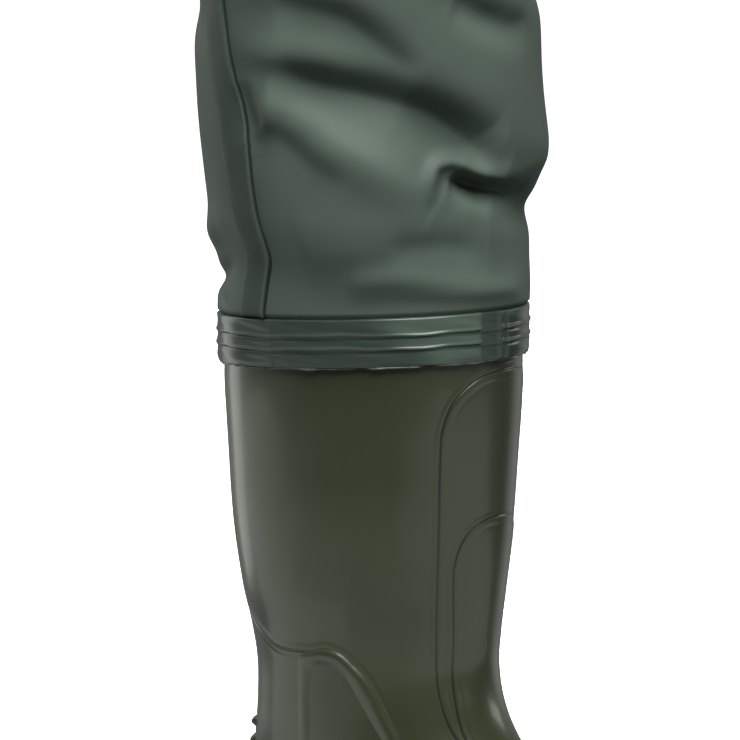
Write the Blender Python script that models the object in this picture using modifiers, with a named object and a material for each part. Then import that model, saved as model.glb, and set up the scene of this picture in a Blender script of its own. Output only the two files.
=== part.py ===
"""A wader for the right foot: a moulded PVC boot welded to a leg of coated fabric.

Metres, +Z up. The toe points along +X and the outer side of the foot is -Y.
The origin is on the floor, under the middle of the heel.
"""

import math
from typing import NamedTuple

import bmesh
import bpy
from mathutils import Vector

# Driving sizes
FOOT_LENGTH = 0.290
BALL_WIDTH = 0.100
BOOT_HEIGHT = 0.295
HEEL_HEIGHT = 0.030
FOREFOOT_HEIGHT = 0.023
LEG_TOP = 0.790
LEG_GIRTH = 0.640

# Walls and clearances
BOOT_WALL = 0.0026
FABRIC = 0.0010
GAP = 0.0003
INSOLE_THICKNESS = 0.003
INSOLE_INSET = BOOT_WALL + 0.0012
SEGMENTS = 36

# Foot: the swing of the toe to the inner side and the pinch of the waist
TOE_SWING = 0.010
SWING_START = 0.080
WAIST_PLACE = 0.055
WAIST_SPREAD = 0.040
WAIST_INNER = 0.23
WAIST_OUTER = 0.13
WAIST_TOP = 0.080
LEVEL_TOP = 0.105

# Sole: its top falls from heel to ball and rises to the toe, its tread lifts at the toe
FALL_START = 0.020
FALL_END = 0.125
SPRING_START = 0.150
TOE_TIP = 0.245
TOE_SPRING = 0.009
LIFT_START = 0.188
TREAD_LIFT = 0.010

# Tread: grooves across heel and forefoot, one along the forefoot, and the open arch
GROOVE_DEPTH = 0.005
GROOVE_WIDTH = 0.0045
GROOVE_SLANT = math.radians(9)
GROOVE_PLACES = (-0.027, -0.009, 0.009, 0.025, 0.108, 0.125, 0.142, 0.159, 0.176, 0.193, 0.210, 0.227)
MIDDLE_GROOVE_START = 0.098
MIDDLE_GROOVE_END = 0.218
MIDDLE_GROOVE_SIDE = 0.003
ARCH_OUTLINE = ((0.038, -0.004), (0.041, 0.010), (0.078, 0.0085), (0.093, -0.004))
CUTTER_LENGTH = 0.160
CUTTER_BELOW = 0.004

# Collar line: it climbs towards the front
COLLAR_SLOPE = 0.057
COLLAR_MIDDLE = 0.018
SLOPE_FOOT = 0.245
SLOPE_FADE = 0.110

# Weld band that ties the leg to the boot
BAND_BOTTOM = 0.2724
BAND_TOP = 0.2945
BAND_THICKNESS = 0.0012
RIB_PROUD = 0.0008
RIB_HALF_HEIGHT = 0.0011
RIB_HEIGHTS = (0.2811, 0.2870)

# Leg: where its lower margin starts inside the band, and how soon it takes its own section
MARGIN_BOTTOM = 0.2760
LEG_BLEND = 0.030
FOLD_RADIUS = 0.074
LEVEL_STEP = 0.0115
UPPER_LEVEL_STEP = 0.040
FOLDED_TOP = 0.446

# Hem around the top of the leg and lap seam up its outer side
HEM_HEIGHT = 0.026
HEM_THICKNESS = 0.0012
SEAM_COLUMN = 25
SEAM_THICKNESS = 0.0009

# Raised panels of the boot: how far each stands out, and how deep its root is sunk in the wall
PANEL_SINK = 0.0010
CAGE_SINK = 0.0015
KICK_SINK = 0.0018
PANEL_COLUMN_TURN = 10
SHIN_PROUD = 0.0009
RIDGE_PROUD = 0.0018
STAY_PROUD = 0.0009
CAGE_PROUD = 0.0010
RIM_PROUD = 0.0022
KICK_PROUD = 0.0032
KICK_HALF_TURN = 30
KICK_FOOT = 0.0710
KICK_PITCH = 0.0085
KICK_HEIGHT = 0.0038
KICK_RIBS = 5

# Steps for finding slopes of the outside
TURN_PROBE = 0.02
HEIGHT_PROBE = 0.001

# Edges sharper than this stay crisp, all other faces are shaded smooth
SHARP_ANGLE = math.radians(40)


class Finish(NamedTuple):
    """Look of one material: linear colour with alpha, roughness and metallic value."""

    colour: tuple
    roughness: float
    metallic: float


BOOT_PVC = Finish((0.040, 0.048, 0.028, 1.0), 0.30, 0.0)
SOLE_PVC = Finish((0.022, 0.025, 0.017, 1.0), 0.45, 0.0)
BAND_PVC = Finish((0.060, 0.080, 0.062, 1.0), 0.36, 0.0)
COATED_FABRIC = Finish((0.072, 0.098, 0.078, 1.0), 0.55, 0.0)
INSOLE_FELT = Finish((0.200, 0.200, 0.180, 1.0), 0.90, 0.0)


class Section(NamedTuple):
    """One level of the boot's outside.

    height is a share of BOOT_HEIGHT; back, front and widest are shares of FOOT_LENGTH from the heel's
    middle; outer and inner are half widths in shares of BALL_WIDTH; fore and aft say how square the two
    ends of the level are, where 2 is an ellipse.
    """

    height: float
    back: float
    front: float
    widest: float
    outer: float
    inner: float
    fore: float
    aft: float


BOOT_SECTIONS = (
    Section(0.1017, -0.152, 0.838, 0.460, 0.495, 0.485, 2.30, 2.50),
    Section(0.128, -0.159, 0.843, 0.450, 0.505, 0.495, 2.30, 2.50),
    Section(0.152, -0.161, 0.828, 0.430, 0.495, 0.485, 2.20, 2.50),
    Section(0.175, -0.160, 0.797, 0.380, 0.470, 0.460, 2.10, 2.50),
    Section(0.199, -0.158, 0.741, 0.310, 0.445, 0.440, 2.00, 2.50),
    Section(0.216, -0.156, 0.662, 0.240, 0.430, 0.430, 2.00, 2.40),
    Section(0.232, -0.153, 0.555, 0.180, 0.420, 0.420, 2.00, 2.40),
    Section(0.253, -0.149, 0.462, 0.140, 0.418, 0.418, 2.00, 2.40),
    Section(0.280, -0.143, 0.391, 0.100, 0.422, 0.422, 2.00, 2.30),
    Section(0.313, -0.134, 0.343, 0.080, 0.427, 0.427, 2.00, 2.20),
    Section(0.354, -0.127, 0.303, 0.065, 0.432, 0.432, 2.00, 2.20),
    Section(0.407, -0.122, 0.274, 0.055, 0.436, 0.436, 2.00, 2.15),
    Section(0.465, -0.121, 0.262, 0.050, 0.444, 0.444, 2.00, 2.15),
    Section(0.519, -0.130, 0.265, 0.045, 0.460, 0.460, 2.00, 2.15),
    Section(0.579, -0.145, 0.272, 0.042, 0.487, 0.487, 2.00, 2.15),
    Section(0.673, -0.160, 0.284, 0.040, 0.515, 0.515, 2.00, 2.15),
    Section(0.788, -0.168, 0.293, 0.040, 0.534, 0.534, 2.00, 2.15),
    Section(0.886, -0.173, 0.300, 0.040, 0.550, 0.550, 2.00, 2.15),
    Section(0.938, -0.173, 0.301, 0.040, 0.551, 0.551, 2.00, 2.15),
    Section(1.000, -0.173, 0.301, 0.040, 0.552, 0.552, 2.00, 2.15),
)


class SideRow(NamedTuple):
    """One line around the sole's side: outset from the upper's lower edge, share of the sole's height."""

    outset: float
    share: float


SOLE_SIDE = (
    SideRow(0.0000, 1.00),
    SideRow(0.0030, 1.00),
    SideRow(0.0038, 0.95),
    SideRow(0.0038, 0.66),
    SideRow(0.0024, 0.62),
    SideRow(0.0024, 0.55),
    SideRow(0.0034, 0.51),
    SideRow(0.0030, 0.06),
    SideRow(0.0018, 0.00),
)


class LegRing(NamedTuple):
    """One level of the leg without its folds.

    rise is a share of the leg's height above the boot's collar; centre is a share of FOOT_LENGTH; half_length
    and half_width are shares of the top opening's mean radius.
    """

    rise: float
    centre: float
    half_length: float
    half_width: float


LEG_RINGS = (
    LegRing(0.000, 0.062, 0.701, 0.562),
    LegRing(0.045, 0.060, 0.700, 0.585),
    LegRing(0.090, 0.056, 0.728, 0.630),
    LegRing(0.150, 0.056, 0.762, 0.680),
    LegRing(0.270, 0.045, 0.775, 0.692),
    LegRing(0.420, 0.045, 0.810, 0.722),
    LegRing(0.700, 0.045, 0.930, 0.830),
    LegRing(1.000, 0.045, 1.060, 0.948),
)


class Fold(NamedTuple):
    """One soft fold of the leg: a ridge where depth is positive, a trough where it is negative.

    turn is in degrees from the front towards the outer side, fall in degrees below the level towards the
    front; height, length, width and depth are sizes.
    """

    turn: float
    height: float
    fall: float
    length: float
    width: float
    depth: float


FOLDS = (
    Fold(62, 0.4260, 35, 0.034, 0.0090, -0.0045),
    Fold(84, 0.4155, 9, 0.040, 0.0080, 0.0035),
    Fold(70, 0.4015, 9, 0.036, 0.0080, -0.0070),
    Fold(30, 0.3845, 32, 0.028, 0.0085, -0.0090),
    Fold(76, 0.3780, 36, 0.036, 0.0095, 0.0060),
    Fold(46, 0.3590, 14, 0.020, 0.0080, 0.0040),
    Fold(86, 0.3700, 30, 0.032, 0.0090, -0.0040),
    Fold(13, 0.3510, 8, 0.024, 0.0080, -0.0110),
    Fold(-28, 0.3400, 10, 0.034, 0.0090, -0.0060),
    Fold(-35, 0.3660, 4, 0.040, 0.0130, 0.0030),
    Fold(-25, 0.4400, 20, 0.040, 0.0180, -0.0060),
    Fold(40, 0.3300, 4, 0.036, 0.0080, -0.0045),
    Fold(42, 0.3160, 0, 0.038, 0.0070, 0.0030),
    Fold(150, 0.3290, -8, 0.030, 0.0080, 0.0030),
    Fold(150, 0.3120, -8, 0.026, 0.0070, -0.0030),
    Fold(200, 0.3550, 12, 0.060, 0.0120, -0.0060),
    Fold(-110, 0.3900, -18, 0.060, 0.0130, -0.0060),
    Fold(160, 0.4300, 10, 0.070, 0.0160, -0.0045),
    Fold(-60, 0.4900, -10, 0.070, 0.0180, -0.0050),
)


class SeamRow(NamedTuple):
    """How far the leg's columns are turned, in degrees, to follow its lap seam at a height."""

    height: float
    shift: float


SEAM_PATH = (
    SeamRow(0.295, 0.0),
    SeamRow(0.302, 6.0),
    SeamRow(0.310, 8.0),
    SeamRow(0.328, 7.0),
    SeamRow(0.355, 3.0),
    SeamRow(0.400, -1.5),
    SeamRow(0.440, -3.0),
    SeamRow(0.800, -3.0),
)


class PanelRow(NamedTuple):
    """Half width of a raised panel, in degrees of turn about its own middle, at a height."""

    height: float
    half_turn: float


SHIN_PANEL = (
    PanelRow(0.0860, 8),
    PanelRow(0.0900, 18),
    PanelRow(0.0980, 26),
    PanelRow(0.1100, 31),
    PanelRow(0.1250, 33),
    PanelRow(0.1450, 33.5),
    PanelRow(0.1700, 34),
    PanelRow(0.2050, 35),
    PanelRow(0.2380, 35.5),
    PanelRow(0.2490, 34.5),
    PanelRow(0.2585, 30),
    PanelRow(0.2655, 20),
    PanelRow(0.2680, 8),
)
SHIN_RIDGE = (
    PanelRow(0.0725, 8),
    PanelRow(0.0760, 15),
    PanelRow(0.0830, 21),
    PanelRow(0.0950, 25),
    PanelRow(0.1100, 26.5),
    PanelRow(0.1270, 25.5),
    PanelRow(0.1530, 25),
    PanelRow(0.1750, 26.5),
    PanelRow(0.1860, 27),
    PanelRow(0.1960, 24.5),
    PanelRow(0.2025, 19),
    PanelRow(0.2060, 12),
    PanelRow(0.2070, 5),
)
BACK_STAY = (
    PanelRow(0.1395, 86),
    PanelRow(0.1432, 84),
    PanelRow(0.1465, 71),
    PanelRow(0.1495, 62),
    PanelRow(0.1555, 47),
    PanelRow(0.1630, 36),
    PanelRow(0.1720, 29),
    PanelRow(0.2000, 27),
    PanelRow(0.2350, 27),
    PanelRow(0.2640, 27),
)


class CageRow(NamedTuple):
    """Front edge of the heel cage, as a place along the foot, at a height."""

    height: float
    front: float


HEEL_CAGE = (
    CageRow(0.0330, 0.0820),
    CageRow(0.0400, 0.0803),
    CageRow(0.0500, 0.0780),
    CageRow(0.0600, 0.0752),
    CageRow(0.0700, 0.0720),
    CageRow(0.0800, 0.0682),
    CageRow(0.0900, 0.0640),
    CageRow(0.1080, 0.0540),
    CageRow(0.1200, 0.0472),
    CageRow(0.1330, 0.0400),
    CageRow(0.1405, 0.0338),
)


class RimRow(NamedTuple):
    """One step along the ankle guard's rim: place along the foot and height of its two edges."""

    outer: float
    outer_height: float
    inner: float
    inner_height: float


ANKLE_RIM = (
    RimRow(0.0040, 0.0330, 0.0095, 0.0330),
    RimRow(0.0050, 0.0700, 0.0105, 0.0700),
    RimRow(0.0060, 0.1060, 0.0116, 0.1060),
    RimRow(0.0065, 0.1240, 0.0118, 0.1240),
    RimRow(0.0072, 0.1395, 0.0132, 0.1365),
    RimRow(0.0090, 0.1440, 0.0145, 0.1390),
    RimRow(0.0136, 0.1465, 0.0168, 0.1410),
    RimRow(0.0201, 0.1480, 0.0212, 0.1414),
    RimRow(0.0279, 0.1468, 0.0265, 0.1398),
    RimRow(0.0346, 0.1411, 0.0316, 0.1355),
    RimRow(0.0413, 0.1334, 0.0365, 0.1275),
    RimRow(0.0488, 0.1195, 0.0433, 0.1160),
    RimRow(0.0546, 0.1098, 0.0490, 0.1070),
    RimRow(0.0648, 0.0900, 0.0585, 0.0890),
    RimRow(0.0728, 0.0700, 0.0660, 0.0690),
    RimRow(0.0788, 0.0500, 0.0717, 0.0495),
    RimRow(0.0828, 0.0330, 0.0760, 0.0330),
)


def smooth(share):
    """Eases from 0 to 1 as share runs from 0 to 1."""
    share = min(max(share, 0.0), 1.0)
    return share * share * (3.0 - 2.0 * share)


def row_at(rows, place):
    """The row at a place along the table's first column, on a smooth cubic through the rows."""
    last = len(rows) - 1
    place = min(max(place, rows[0][0]), rows[last][0])
    index = next(i for i in range(last) if place <= rows[i + 1][0])
    low, high = rows[index], rows[index + 1]
    before, after = rows[max(index - 1, 0)], rows[min(index + 2, last)]
    span = high[0] - low[0]
    t = (place - low[0]) / span
    columns = []
    for a, b, c, d in zip(before, low, high, after):
        leave = (c - a) / (high[0] - before[0]) * span
        arrive = (d - b) / (after[0] - low[0]) * span
        rising = b * (1 + 2 * t) + leave * t
        falling = c * (3 - 2 * t) + arrive * (t - 1)
        columns.append(rising * (1 - t) ** 2 + falling * t * t)
    return type(low)(*columns)


def sole_top(x):
    """Height of the line where the upper meets the sole, at a place along the foot."""
    fall = (HEEL_HEIGHT - FOREFOOT_HEIGHT) * smooth((x - FALL_START) / (FALL_END - FALL_START))
    spring = TOE_SPRING * smooth((x - SPRING_START) / (TOE_TIP - SPRING_START))
    return HEEL_HEIGHT - fall + spring


def sole_bottom(x):
    """Height of the tread: flat under heel and ball, lifted at the toe."""
    return TREAD_LIFT * max(0.0, (x - LIFT_START) / (TOE_TIP - LIFT_START)) ** 2


def foot_curve(x):
    """How far the foot's middle line swings to the inner side."""
    return TOE_SWING * max(0.0, (x - SWING_START) / (TOE_TIP - SWING_START)) ** 2


def waist_pinch(x, height, depth):
    """Share by which a level's half width is drawn in at the arch of the foot."""
    bump = math.exp(-0.5 * ((x - WAIST_PLACE) / WAIST_SPREAD) ** 2)
    return depth * bump * (1 - smooth((height - HEEL_HEIGHT) / (WAIST_TOP - HEEL_HEIGHT)))


def collar_lift(x, height):
    """How far the collar line's climb lifts a place of the boot or the leg."""
    share = smooth((height - SLOPE_FOOT) / (BAND_BOTTOM - SLOPE_FOOT))
    share -= smooth((height - BOOT_HEIGHT) / SLOPE_FADE)
    return COLLAR_SLOPE * (x - COLLAR_MIDDLE) * share


def boot_point(turn, height):
    """Point on the boot's outside, at a turn from the toe to the inner side and a height at the heel."""
    row = row_at(BOOT_SECTIONS, height / BOOT_HEIGHT)
    along, across = math.cos(turn), math.sin(turn)
    end, squareness = (row.front, row.fore) if along > 0 else (row.back, row.aft)
    half, pinch = (row.inner, WAIST_INNER) if across > 0 else (row.outer, WAIST_OUTER)
    x = FOOT_LENGTH * (row.widest + (end - row.widest) * abs(along) ** (2 / squareness))
    half *= BALL_WIDTH * (1 - waist_pinch(x, height, pinch))
    y = foot_curve(x) + math.copysign(half * abs(across) ** (2 / squareness), across)
    level = 1 - smooth((height - HEEL_HEIGHT) / (LEVEL_TOP - HEEL_HEIGHT))
    return Vector((x, y, height + (sole_top(x) - HEEL_HEIGHT) * level + collar_lift(x, height)))


def turn_at(x, height):
    """Turn from the toe at which the boot's outside passes a place along the foot."""
    row = row_at(BOOT_SECTIONS, height / BOOT_HEIGHT)
    ahead = x > FOOT_LENGTH * row.widest
    end, squareness = (row.front, row.fore) if ahead else (row.back, row.aft)
    share = (x / FOOT_LENGTH - row.widest) / (end - row.widest)
    along = share ** (squareness / 2)
    return math.acos(along if ahead else -along)


def leg_form(turn, height):
    """Point on the leg's outside without its folds."""
    row = row_at(LEG_RINGS, (height - BOOT_HEIGHT) / (LEG_TOP - BOOT_HEIGHT))
    radius = LEG_GIRTH / (2 * math.pi)
    x = FOOT_LENGTH * row.centre + radius * row.half_length * math.cos(turn)
    own = Vector((x, radius * row.half_width * math.sin(turn), height + collar_lift(x, height)))
    collar = raised(boot_point, turn, min(height, BOOT_HEIGHT), GAP + FABRIC)
    collar.z += max(0.0, height - BOOT_HEIGHT)
    return collar.lerp(own, smooth((height - BOOT_HEIGHT) / LEG_BLEND))


def outward(surface, turn, height):
    """Unit normal of a surface, out of the wader."""
    around = surface(turn + TURN_PROBE, height) - surface(turn - TURN_PROBE, height)
    rising = surface(turn, height + HEIGHT_PROBE) - surface(turn, height - HEIGHT_PROBE)
    return around.cross(rising).normalized()


def raised(surface, turn, height, proud):
    """Point that stands proud of a surface."""
    return surface(turn, height) + outward(surface, turn, height) * proud


def fold_depth(turn, height):
    """How far the leg's folds push its surface out at a place."""
    total = 0.0
    for fold in FOLDS:
        apart = math.radians(fold.turn) + turn
        apart = math.atan2(math.sin(apart), math.cos(apart)) * FOLD_RADIUS
        rise = height - fold.height
        cosine, sine = math.cos(math.radians(fold.fall)), math.sin(math.radians(fold.fall))
        along = apart * cosine - rise * sine
        off = apart * sine + rise * cosine
        total += fold.depth * math.exp(-((off / fold.width) ** 2) - (along / fold.length) ** 4)
    return total * smooth((height - BOOT_HEIGHT) / LEG_BLEND)


def leg_point(column, height, proud):
    """Point on a column of the leg, standing proud of its folded outside."""
    shift = row_at(SEAM_PATH, height).shift
    turn = math.radians(shift) + 2 * math.pi * column / SEGMENTS
    return raised(leg_form, turn, height, fold_depth(turn, height) + proud)


def leg_levels(bottom, top):
    """Heights of the leg's rows between two heights: close in the folded part, wider above."""
    levels = [MARGIN_BOTTOM, BOOT_HEIGHT]
    while levels[-1] < FOLDED_TOP:
        levels.append(levels[-1] + LEVEL_STEP)
    hem_foot = LEG_TOP - HEM_HEIGHT
    while levels[-1] + UPPER_LEVEL_STEP < hem_foot:
        levels.append(levels[-1] + UPPER_LEVEL_STEP)
    levels += [hem_foot, LEG_TOP]
    return [level for level in levels if bottom <= level <= top]


def turns():
    """The turns at which every closed ring has its points."""
    return [2 * math.pi * column / SEGMENTS for column in range(SEGMENTS)]


def sole_edge(turn, outset, height):
    """Point outset in plan from the upper's lower edge; height is a function of the place along the foot."""
    ahead = boot_point(turn + TURN_PROBE, HEEL_HEIGHT)
    behind = boot_point(turn - TURN_PROBE, HEEL_HEIGHT)
    side = Vector((ahead.y - behind.y, behind.x - ahead.x, 0)).normalized()
    edge = boot_point(turn, HEEL_HEIGHT) + side * outset
    edge.z = height(edge.x)
    return edge


def add_object(name, mesh_builder, collection, finish=None):
    """Adds a mesh object made by a bmesh builder, with a material of its own where a finish is given."""
    shape = bmesh.new()
    mesh_builder(shape)
    mesh = bpy.data.meshes.new(name)
    shape.to_mesh(mesh)
    shape.free()
    mesh.shade_smooth()
    mesh.set_sharp_from_angle(angle=SHARP_ANGLE)
    part = bpy.data.objects.new(name, mesh)
    collection.objects.link(part)
    if finish:
        material = bpy.data.materials.new(name)
        material.use_nodes = True
        inputs = material.node_tree.nodes["Principled BSDF"].inputs
        inputs["Base Color"].default_value = finish.colour
        inputs["Roughness"].default_value = finish.roughness
        inputs["Metallic"].default_value = finish.metallic
        mesh.materials.append(material)
    return part


def loft(rings, closed=True, capped=False, endless=False):
    """Builder of a skin through rings of points.

    closed joins each ring's ends, capped fills the first and last ring across the foot, endless joins the
    last ring to the first.
    """

    def build(shape):
        grid = [[shape.verts.new(point) for point in ring] for ring in rings]
        count = len(rings[0])
        pairs = list(zip(grid, grid[1:]))
        if endless:
            pairs.append((grid[-1], grid[0]))
        for low, high in pairs:
            for i in range(count if closed else count - 1):
                j = (i + 1) % count
                shape.faces.new((low[i], low[j], high[j], high[i]))
        for ring in (grid[0], grid[-1]) if capped else ():
            for i in range(count // 2):
                corners = dict.fromkeys((ring[i], ring[i + 1], ring[-i - 1], ring[-i]))
                shape.faces.new(tuple(corners))
        if capped or endless:
            bmesh.ops.recalc_face_normals(shape, faces=shape.faces)

    return build


def shell(name, rings, thickness, collection, finish=None, closed=True):
    """Adds a skin thickened inwards."""
    part = add_object(name, loft(rings, closed), collection, finish)
    wall = part.modifiers.new("wall", "SOLIDIFY")
    wall.thickness = thickness
    wall.offset = -1.0
    wall.use_even_offset = True
    part.modifiers.new("facets", "TRIANGULATE")
    return part


def combine(part, tool, operation):
    """Adds or cuts a tool body."""
    step = part.modifiers.new(tool.name, "BOOLEAN")
    step.operation = operation
    step.solver = "EXACT"
    step.object = tool


def panel(name, rows, middle, proud, sink, tools):
    """Adds a raised panel of the boot, rooted in its wall."""
    columns = math.ceil(2 * max(row.half_turn for row in rows) / PANEL_COLUMN_TURN)
    rings = []
    for row in rows:
        ring = []
        for column in range(columns + 1):
            turn = middle + math.radians(row.half_turn) * (2 * column / columns - 1)
            ring.append(raised(boot_point, turn, row.height, proud))
        rings.append(ring)
    return shell(name, rings, proud + sink, tools, closed=False)


def ankle_rim(name, side, tools):
    """Adds the raised rim of an ankle guard; side is -1 on the outer side and 1 on the inner."""
    rings = []
    for row in ANKLE_RIM:
        outer_turn = side * turn_at(row.outer, row.outer_height)
        inner_turn = side * turn_at(row.inner, row.inner_height)
        outer = raised(boot_point, outer_turn, row.outer_height, RIM_PROUD)
        inner = raised(boot_point, inner_turn, row.inner_height, RIM_PROUD)
        rings.append([outer, inner][::-side])
    return shell(name, rings, RIM_PROUD + PANEL_SINK, tools, closed=False)


def build_upper(parts, tools):
    """Boot: a hollow moulding, open at the collar and underneath, with its guards and ribs."""
    levels = [row.height * BOOT_HEIGHT for row in BOOT_SECTIONS]
    rings = [[boot_point(turn, level) for turn in turns()] for level in levels]
    upper = shell("boot_upper", rings, BOOT_WALL, parts, BOOT_PVC)
    cage = [PanelRow(row.height, 180 - math.degrees(turn_at(row.front, row.height))) for row in HEEL_CAGE]
    raised_parts = [
        panel("shin_panel", SHIN_PANEL, 0.0, SHIN_PROUD, PANEL_SINK, tools),
        panel("shin_ridge", SHIN_RIDGE, 0.0, RIDGE_PROUD, PANEL_SINK, tools),
        panel("back_stay", BACK_STAY, math.pi, STAY_PROUD, PANEL_SINK, tools),
        panel("heel_cage", cage, math.pi, CAGE_PROUD, CAGE_SINK, tools),
        ankle_rim("ankle_rim_outer", -1, tools),
        ankle_rim("ankle_rim_inner", 1, tools),
    ]
    for rib in range(KICK_RIBS):
        foot = KICK_FOOT + rib * KICK_PITCH
        rows = (PanelRow(foot, KICK_HALF_TURN), PanelRow(foot + KICK_HEIGHT, KICK_HALF_TURN))
        raised_parts.append(panel(f"kick_rib_{rib + 1}", rows, math.pi, KICK_PROUD, KICK_SINK, tools))
    for part in raised_parts:
        combine(upper, part, "UNION")


def build_sole(parts, tools):
    """Outsole with stepped side, heel, arch and grooved tread."""

    def rise(share):
        return lambda x: sole_bottom(x) + (sole_top(x) - GAP - sole_bottom(x)) * share

    rings = [[sole_edge(turn, row.outset, rise(row.share)) for turn in turns()] for row in SOLE_SIDE]
    sole = add_object("outsole", loft(rings, capped=True), parts, SOLE_PVC)
    half = CUTTER_LENGTH / 2
    sides = [[Vector((x, y, z)) for x, z in ARCH_OUTLINE] for y in (-half, half)]

    def arch(shape):
        loft(sides)(shape)
        bmesh.ops.holes_fill(shape, edges=shape.edges, sides=len(ARCH_OUTLINE))
        bmesh.ops.recalc_face_normals(shape, faces=shape.faces)

    combine(sole, add_object("arch_cut", arch, tools), "DIFFERENCE")
    for number, place in enumerate(GROOVE_PLACES, start=1):
        groove = add_groove(f"groove_cut_{number}", place, GROOVE_WIDTH, CUTTER_LENGTH, tools)
        groove.rotation_euler.z = GROOVE_SLANT
        combine(sole, groove, "DIFFERENCE")
    length = MIDDLE_GROOVE_END - MIDDLE_GROOVE_START
    middle = add_groove("middle_groove_cut", MIDDLE_GROOVE_START + length / 2, length, GROOVE_WIDTH, tools)
    middle.location.y = MIDDLE_GROOVE_SIDE
    combine(sole, middle, "DIFFERENCE")


def add_groove(name, place, length, width, tools):
    """Adds a box that cuts a groove into the tread."""
    top = sole_bottom(place) + GROOVE_DEPTH
    height = top + CUTTER_BELOW
    groove = add_object(name, lambda shape: bmesh.ops.create_cube(shape, size=1.0), tools)
    groove.scale = (length, width, height)
    groove.location = (place, 0, top - height / 2)
    return groove


def build_insole(parts):
    """Flat insole that lies on the sole inside the upper."""
    rings = []
    for rise in (GAP, GAP + INSOLE_THICKNESS):
        rings.append([sole_edge(turn, -INSOLE_INSET, lambda x: sole_top(x) + rise) for turn in turns()])
    add_object("insole", loft(rings, capped=True), parts, INSOLE_FELT)


def build_leg(parts):
    """Leg of coated fabric, with its weld band, lap seam and hem."""
    columns = range(SEGMENTS)
    rings = [[leg_point(column, level, 0.0) for column in columns] for level in leg_levels(0.0, LEG_TOP)]
    shell("leg", rings, FABRIC, parts, COATED_FABRIC)

    profile = [(BAND_BOTTOM, 0.0), (BAND_BOTTOM, BAND_THICKNESS)]
    for height in RIB_HEIGHTS:
        profile.append((height - RIB_HALF_HEIGHT, BAND_THICKNESS))
        profile.append((height, BAND_THICKNESS + RIB_PROUD))
        profile.append((height + RIB_HALF_HEIGHT, BAND_THICKNESS))
    profile += [(BAND_TOP, BAND_THICKNESS), (BAND_TOP, 0.0)]
    base = GAP + FABRIC + GAP
    band = [[raised(boot_point, turn, height, base + proud) for turn in turns()] for height, proud in profile]
    add_object("joint_band", loft(band, endless=True), parts, BAND_PVC)

    seam_levels = leg_levels(BOOT_HEIGHT + GAP, LEG_TOP - HEM_HEIGHT - GAP)
    seam_columns = (SEAM_COLUMN - 1, SEAM_COLUMN)
    proud = GAP + SEAM_THICKNESS
    strip = [[leg_point(column, level, proud) for column in seam_columns] for level in seam_levels]
    shell("leg_seam", strip, SEAM_THICKNESS, parts, COATED_FABRIC, closed=False)

    hem_levels = leg_levels(LEG_TOP - HEM_HEIGHT, LEG_TOP)
    proud = GAP + HEM_THICKNESS
    hem = [[leg_point(column, level, proud) for column in columns] for level in hem_levels]
    shell("top_hem", hem, HEM_THICKNESS, parts, COATED_FABRIC)


def main():
    """Clears the scene and builds the wader."""
    for old in list(bpy.data.objects):
        bpy.data.objects.remove(old)
    parts = bpy.data.collections.new("wader")
    tools = bpy.data.collections.new("cutters")
    for collection in (parts, tools):
        bpy.context.scene.collection.children.link(collection)
    build_sole(parts, tools)
    build_insole(parts)
    build_upper(parts, tools)
    build_leg(parts)
    for tool in tools.objects:
        tool.hide_render = True
        tool.display_type = "WIRE"
    frame = bpy.data.objects.new("wader_frame", None)
    for part in parts.objects:
        part.parent = frame
    parts.objects.link(frame)


main()
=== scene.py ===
"""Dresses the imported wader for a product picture: a moulded PVC boot welded to a leg of coated fabric.

Metres, +Z up. The toe points along +X and the outer side of the foot is -Y. Turns run about the leg, from
the toe towards the inner side, so the outer side has negative turns.
"""

from __future__ import annotations

import logging
import math
from dataclasses import dataclass, replace
from enum import Enum
from typing import Any, ClassVar

import bpy
import numpy as np
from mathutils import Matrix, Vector

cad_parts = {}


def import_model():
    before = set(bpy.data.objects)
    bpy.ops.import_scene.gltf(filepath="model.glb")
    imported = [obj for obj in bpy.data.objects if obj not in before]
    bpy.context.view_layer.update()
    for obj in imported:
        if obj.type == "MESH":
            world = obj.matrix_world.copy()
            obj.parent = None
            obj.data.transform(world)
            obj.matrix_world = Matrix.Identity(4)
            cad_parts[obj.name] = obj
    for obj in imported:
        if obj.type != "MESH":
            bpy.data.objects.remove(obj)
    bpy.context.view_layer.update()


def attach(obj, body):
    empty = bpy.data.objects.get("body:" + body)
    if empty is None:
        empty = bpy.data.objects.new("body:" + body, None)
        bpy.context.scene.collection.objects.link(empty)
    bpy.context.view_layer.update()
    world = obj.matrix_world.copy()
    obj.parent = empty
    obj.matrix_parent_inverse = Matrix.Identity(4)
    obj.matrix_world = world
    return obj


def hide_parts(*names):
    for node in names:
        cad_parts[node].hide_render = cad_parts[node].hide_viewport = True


LOG = logging.getLogger("wader")
BODY = "root"
SHADE = "shade"
MM = 0.001
# Sockets of a Mix node that mixes colours
MIX_FACTOR, MIX_FIRST, MIX_SECOND, MIX_RESULT = 0, 6, 7, 2

Array = np.ndarray
Faces = list[list[int]]
Piece = bpy.types.Object
Tree = bpy.types.NodeTree
Node = bpy.types.Node
Socket = bpy.types.NodeSocket
Settings = dict[str | int, Any]
Spot = tuple[float, float, float]
Rows = tuple[tuple[float, ...], ...]


class Slot(Enum):
    """The record's material slots."""

    BOOT = "boot_pvc"
    SOLE = "sole_pvc"
    BAND = "band_pvc"
    LEG = "leg_fabric"
    INSOLE = "insole_felt"


class Lights(Enum):
    """What a lamp of the studio acts on."""

    ALL = "all"
    GLOSS = "gloss"
    COLOUR = "colour"


class Side(Enum):
    """The two sides of the foot, as the sign of their turns."""

    OUTER = -1
    INNER = 1


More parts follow.
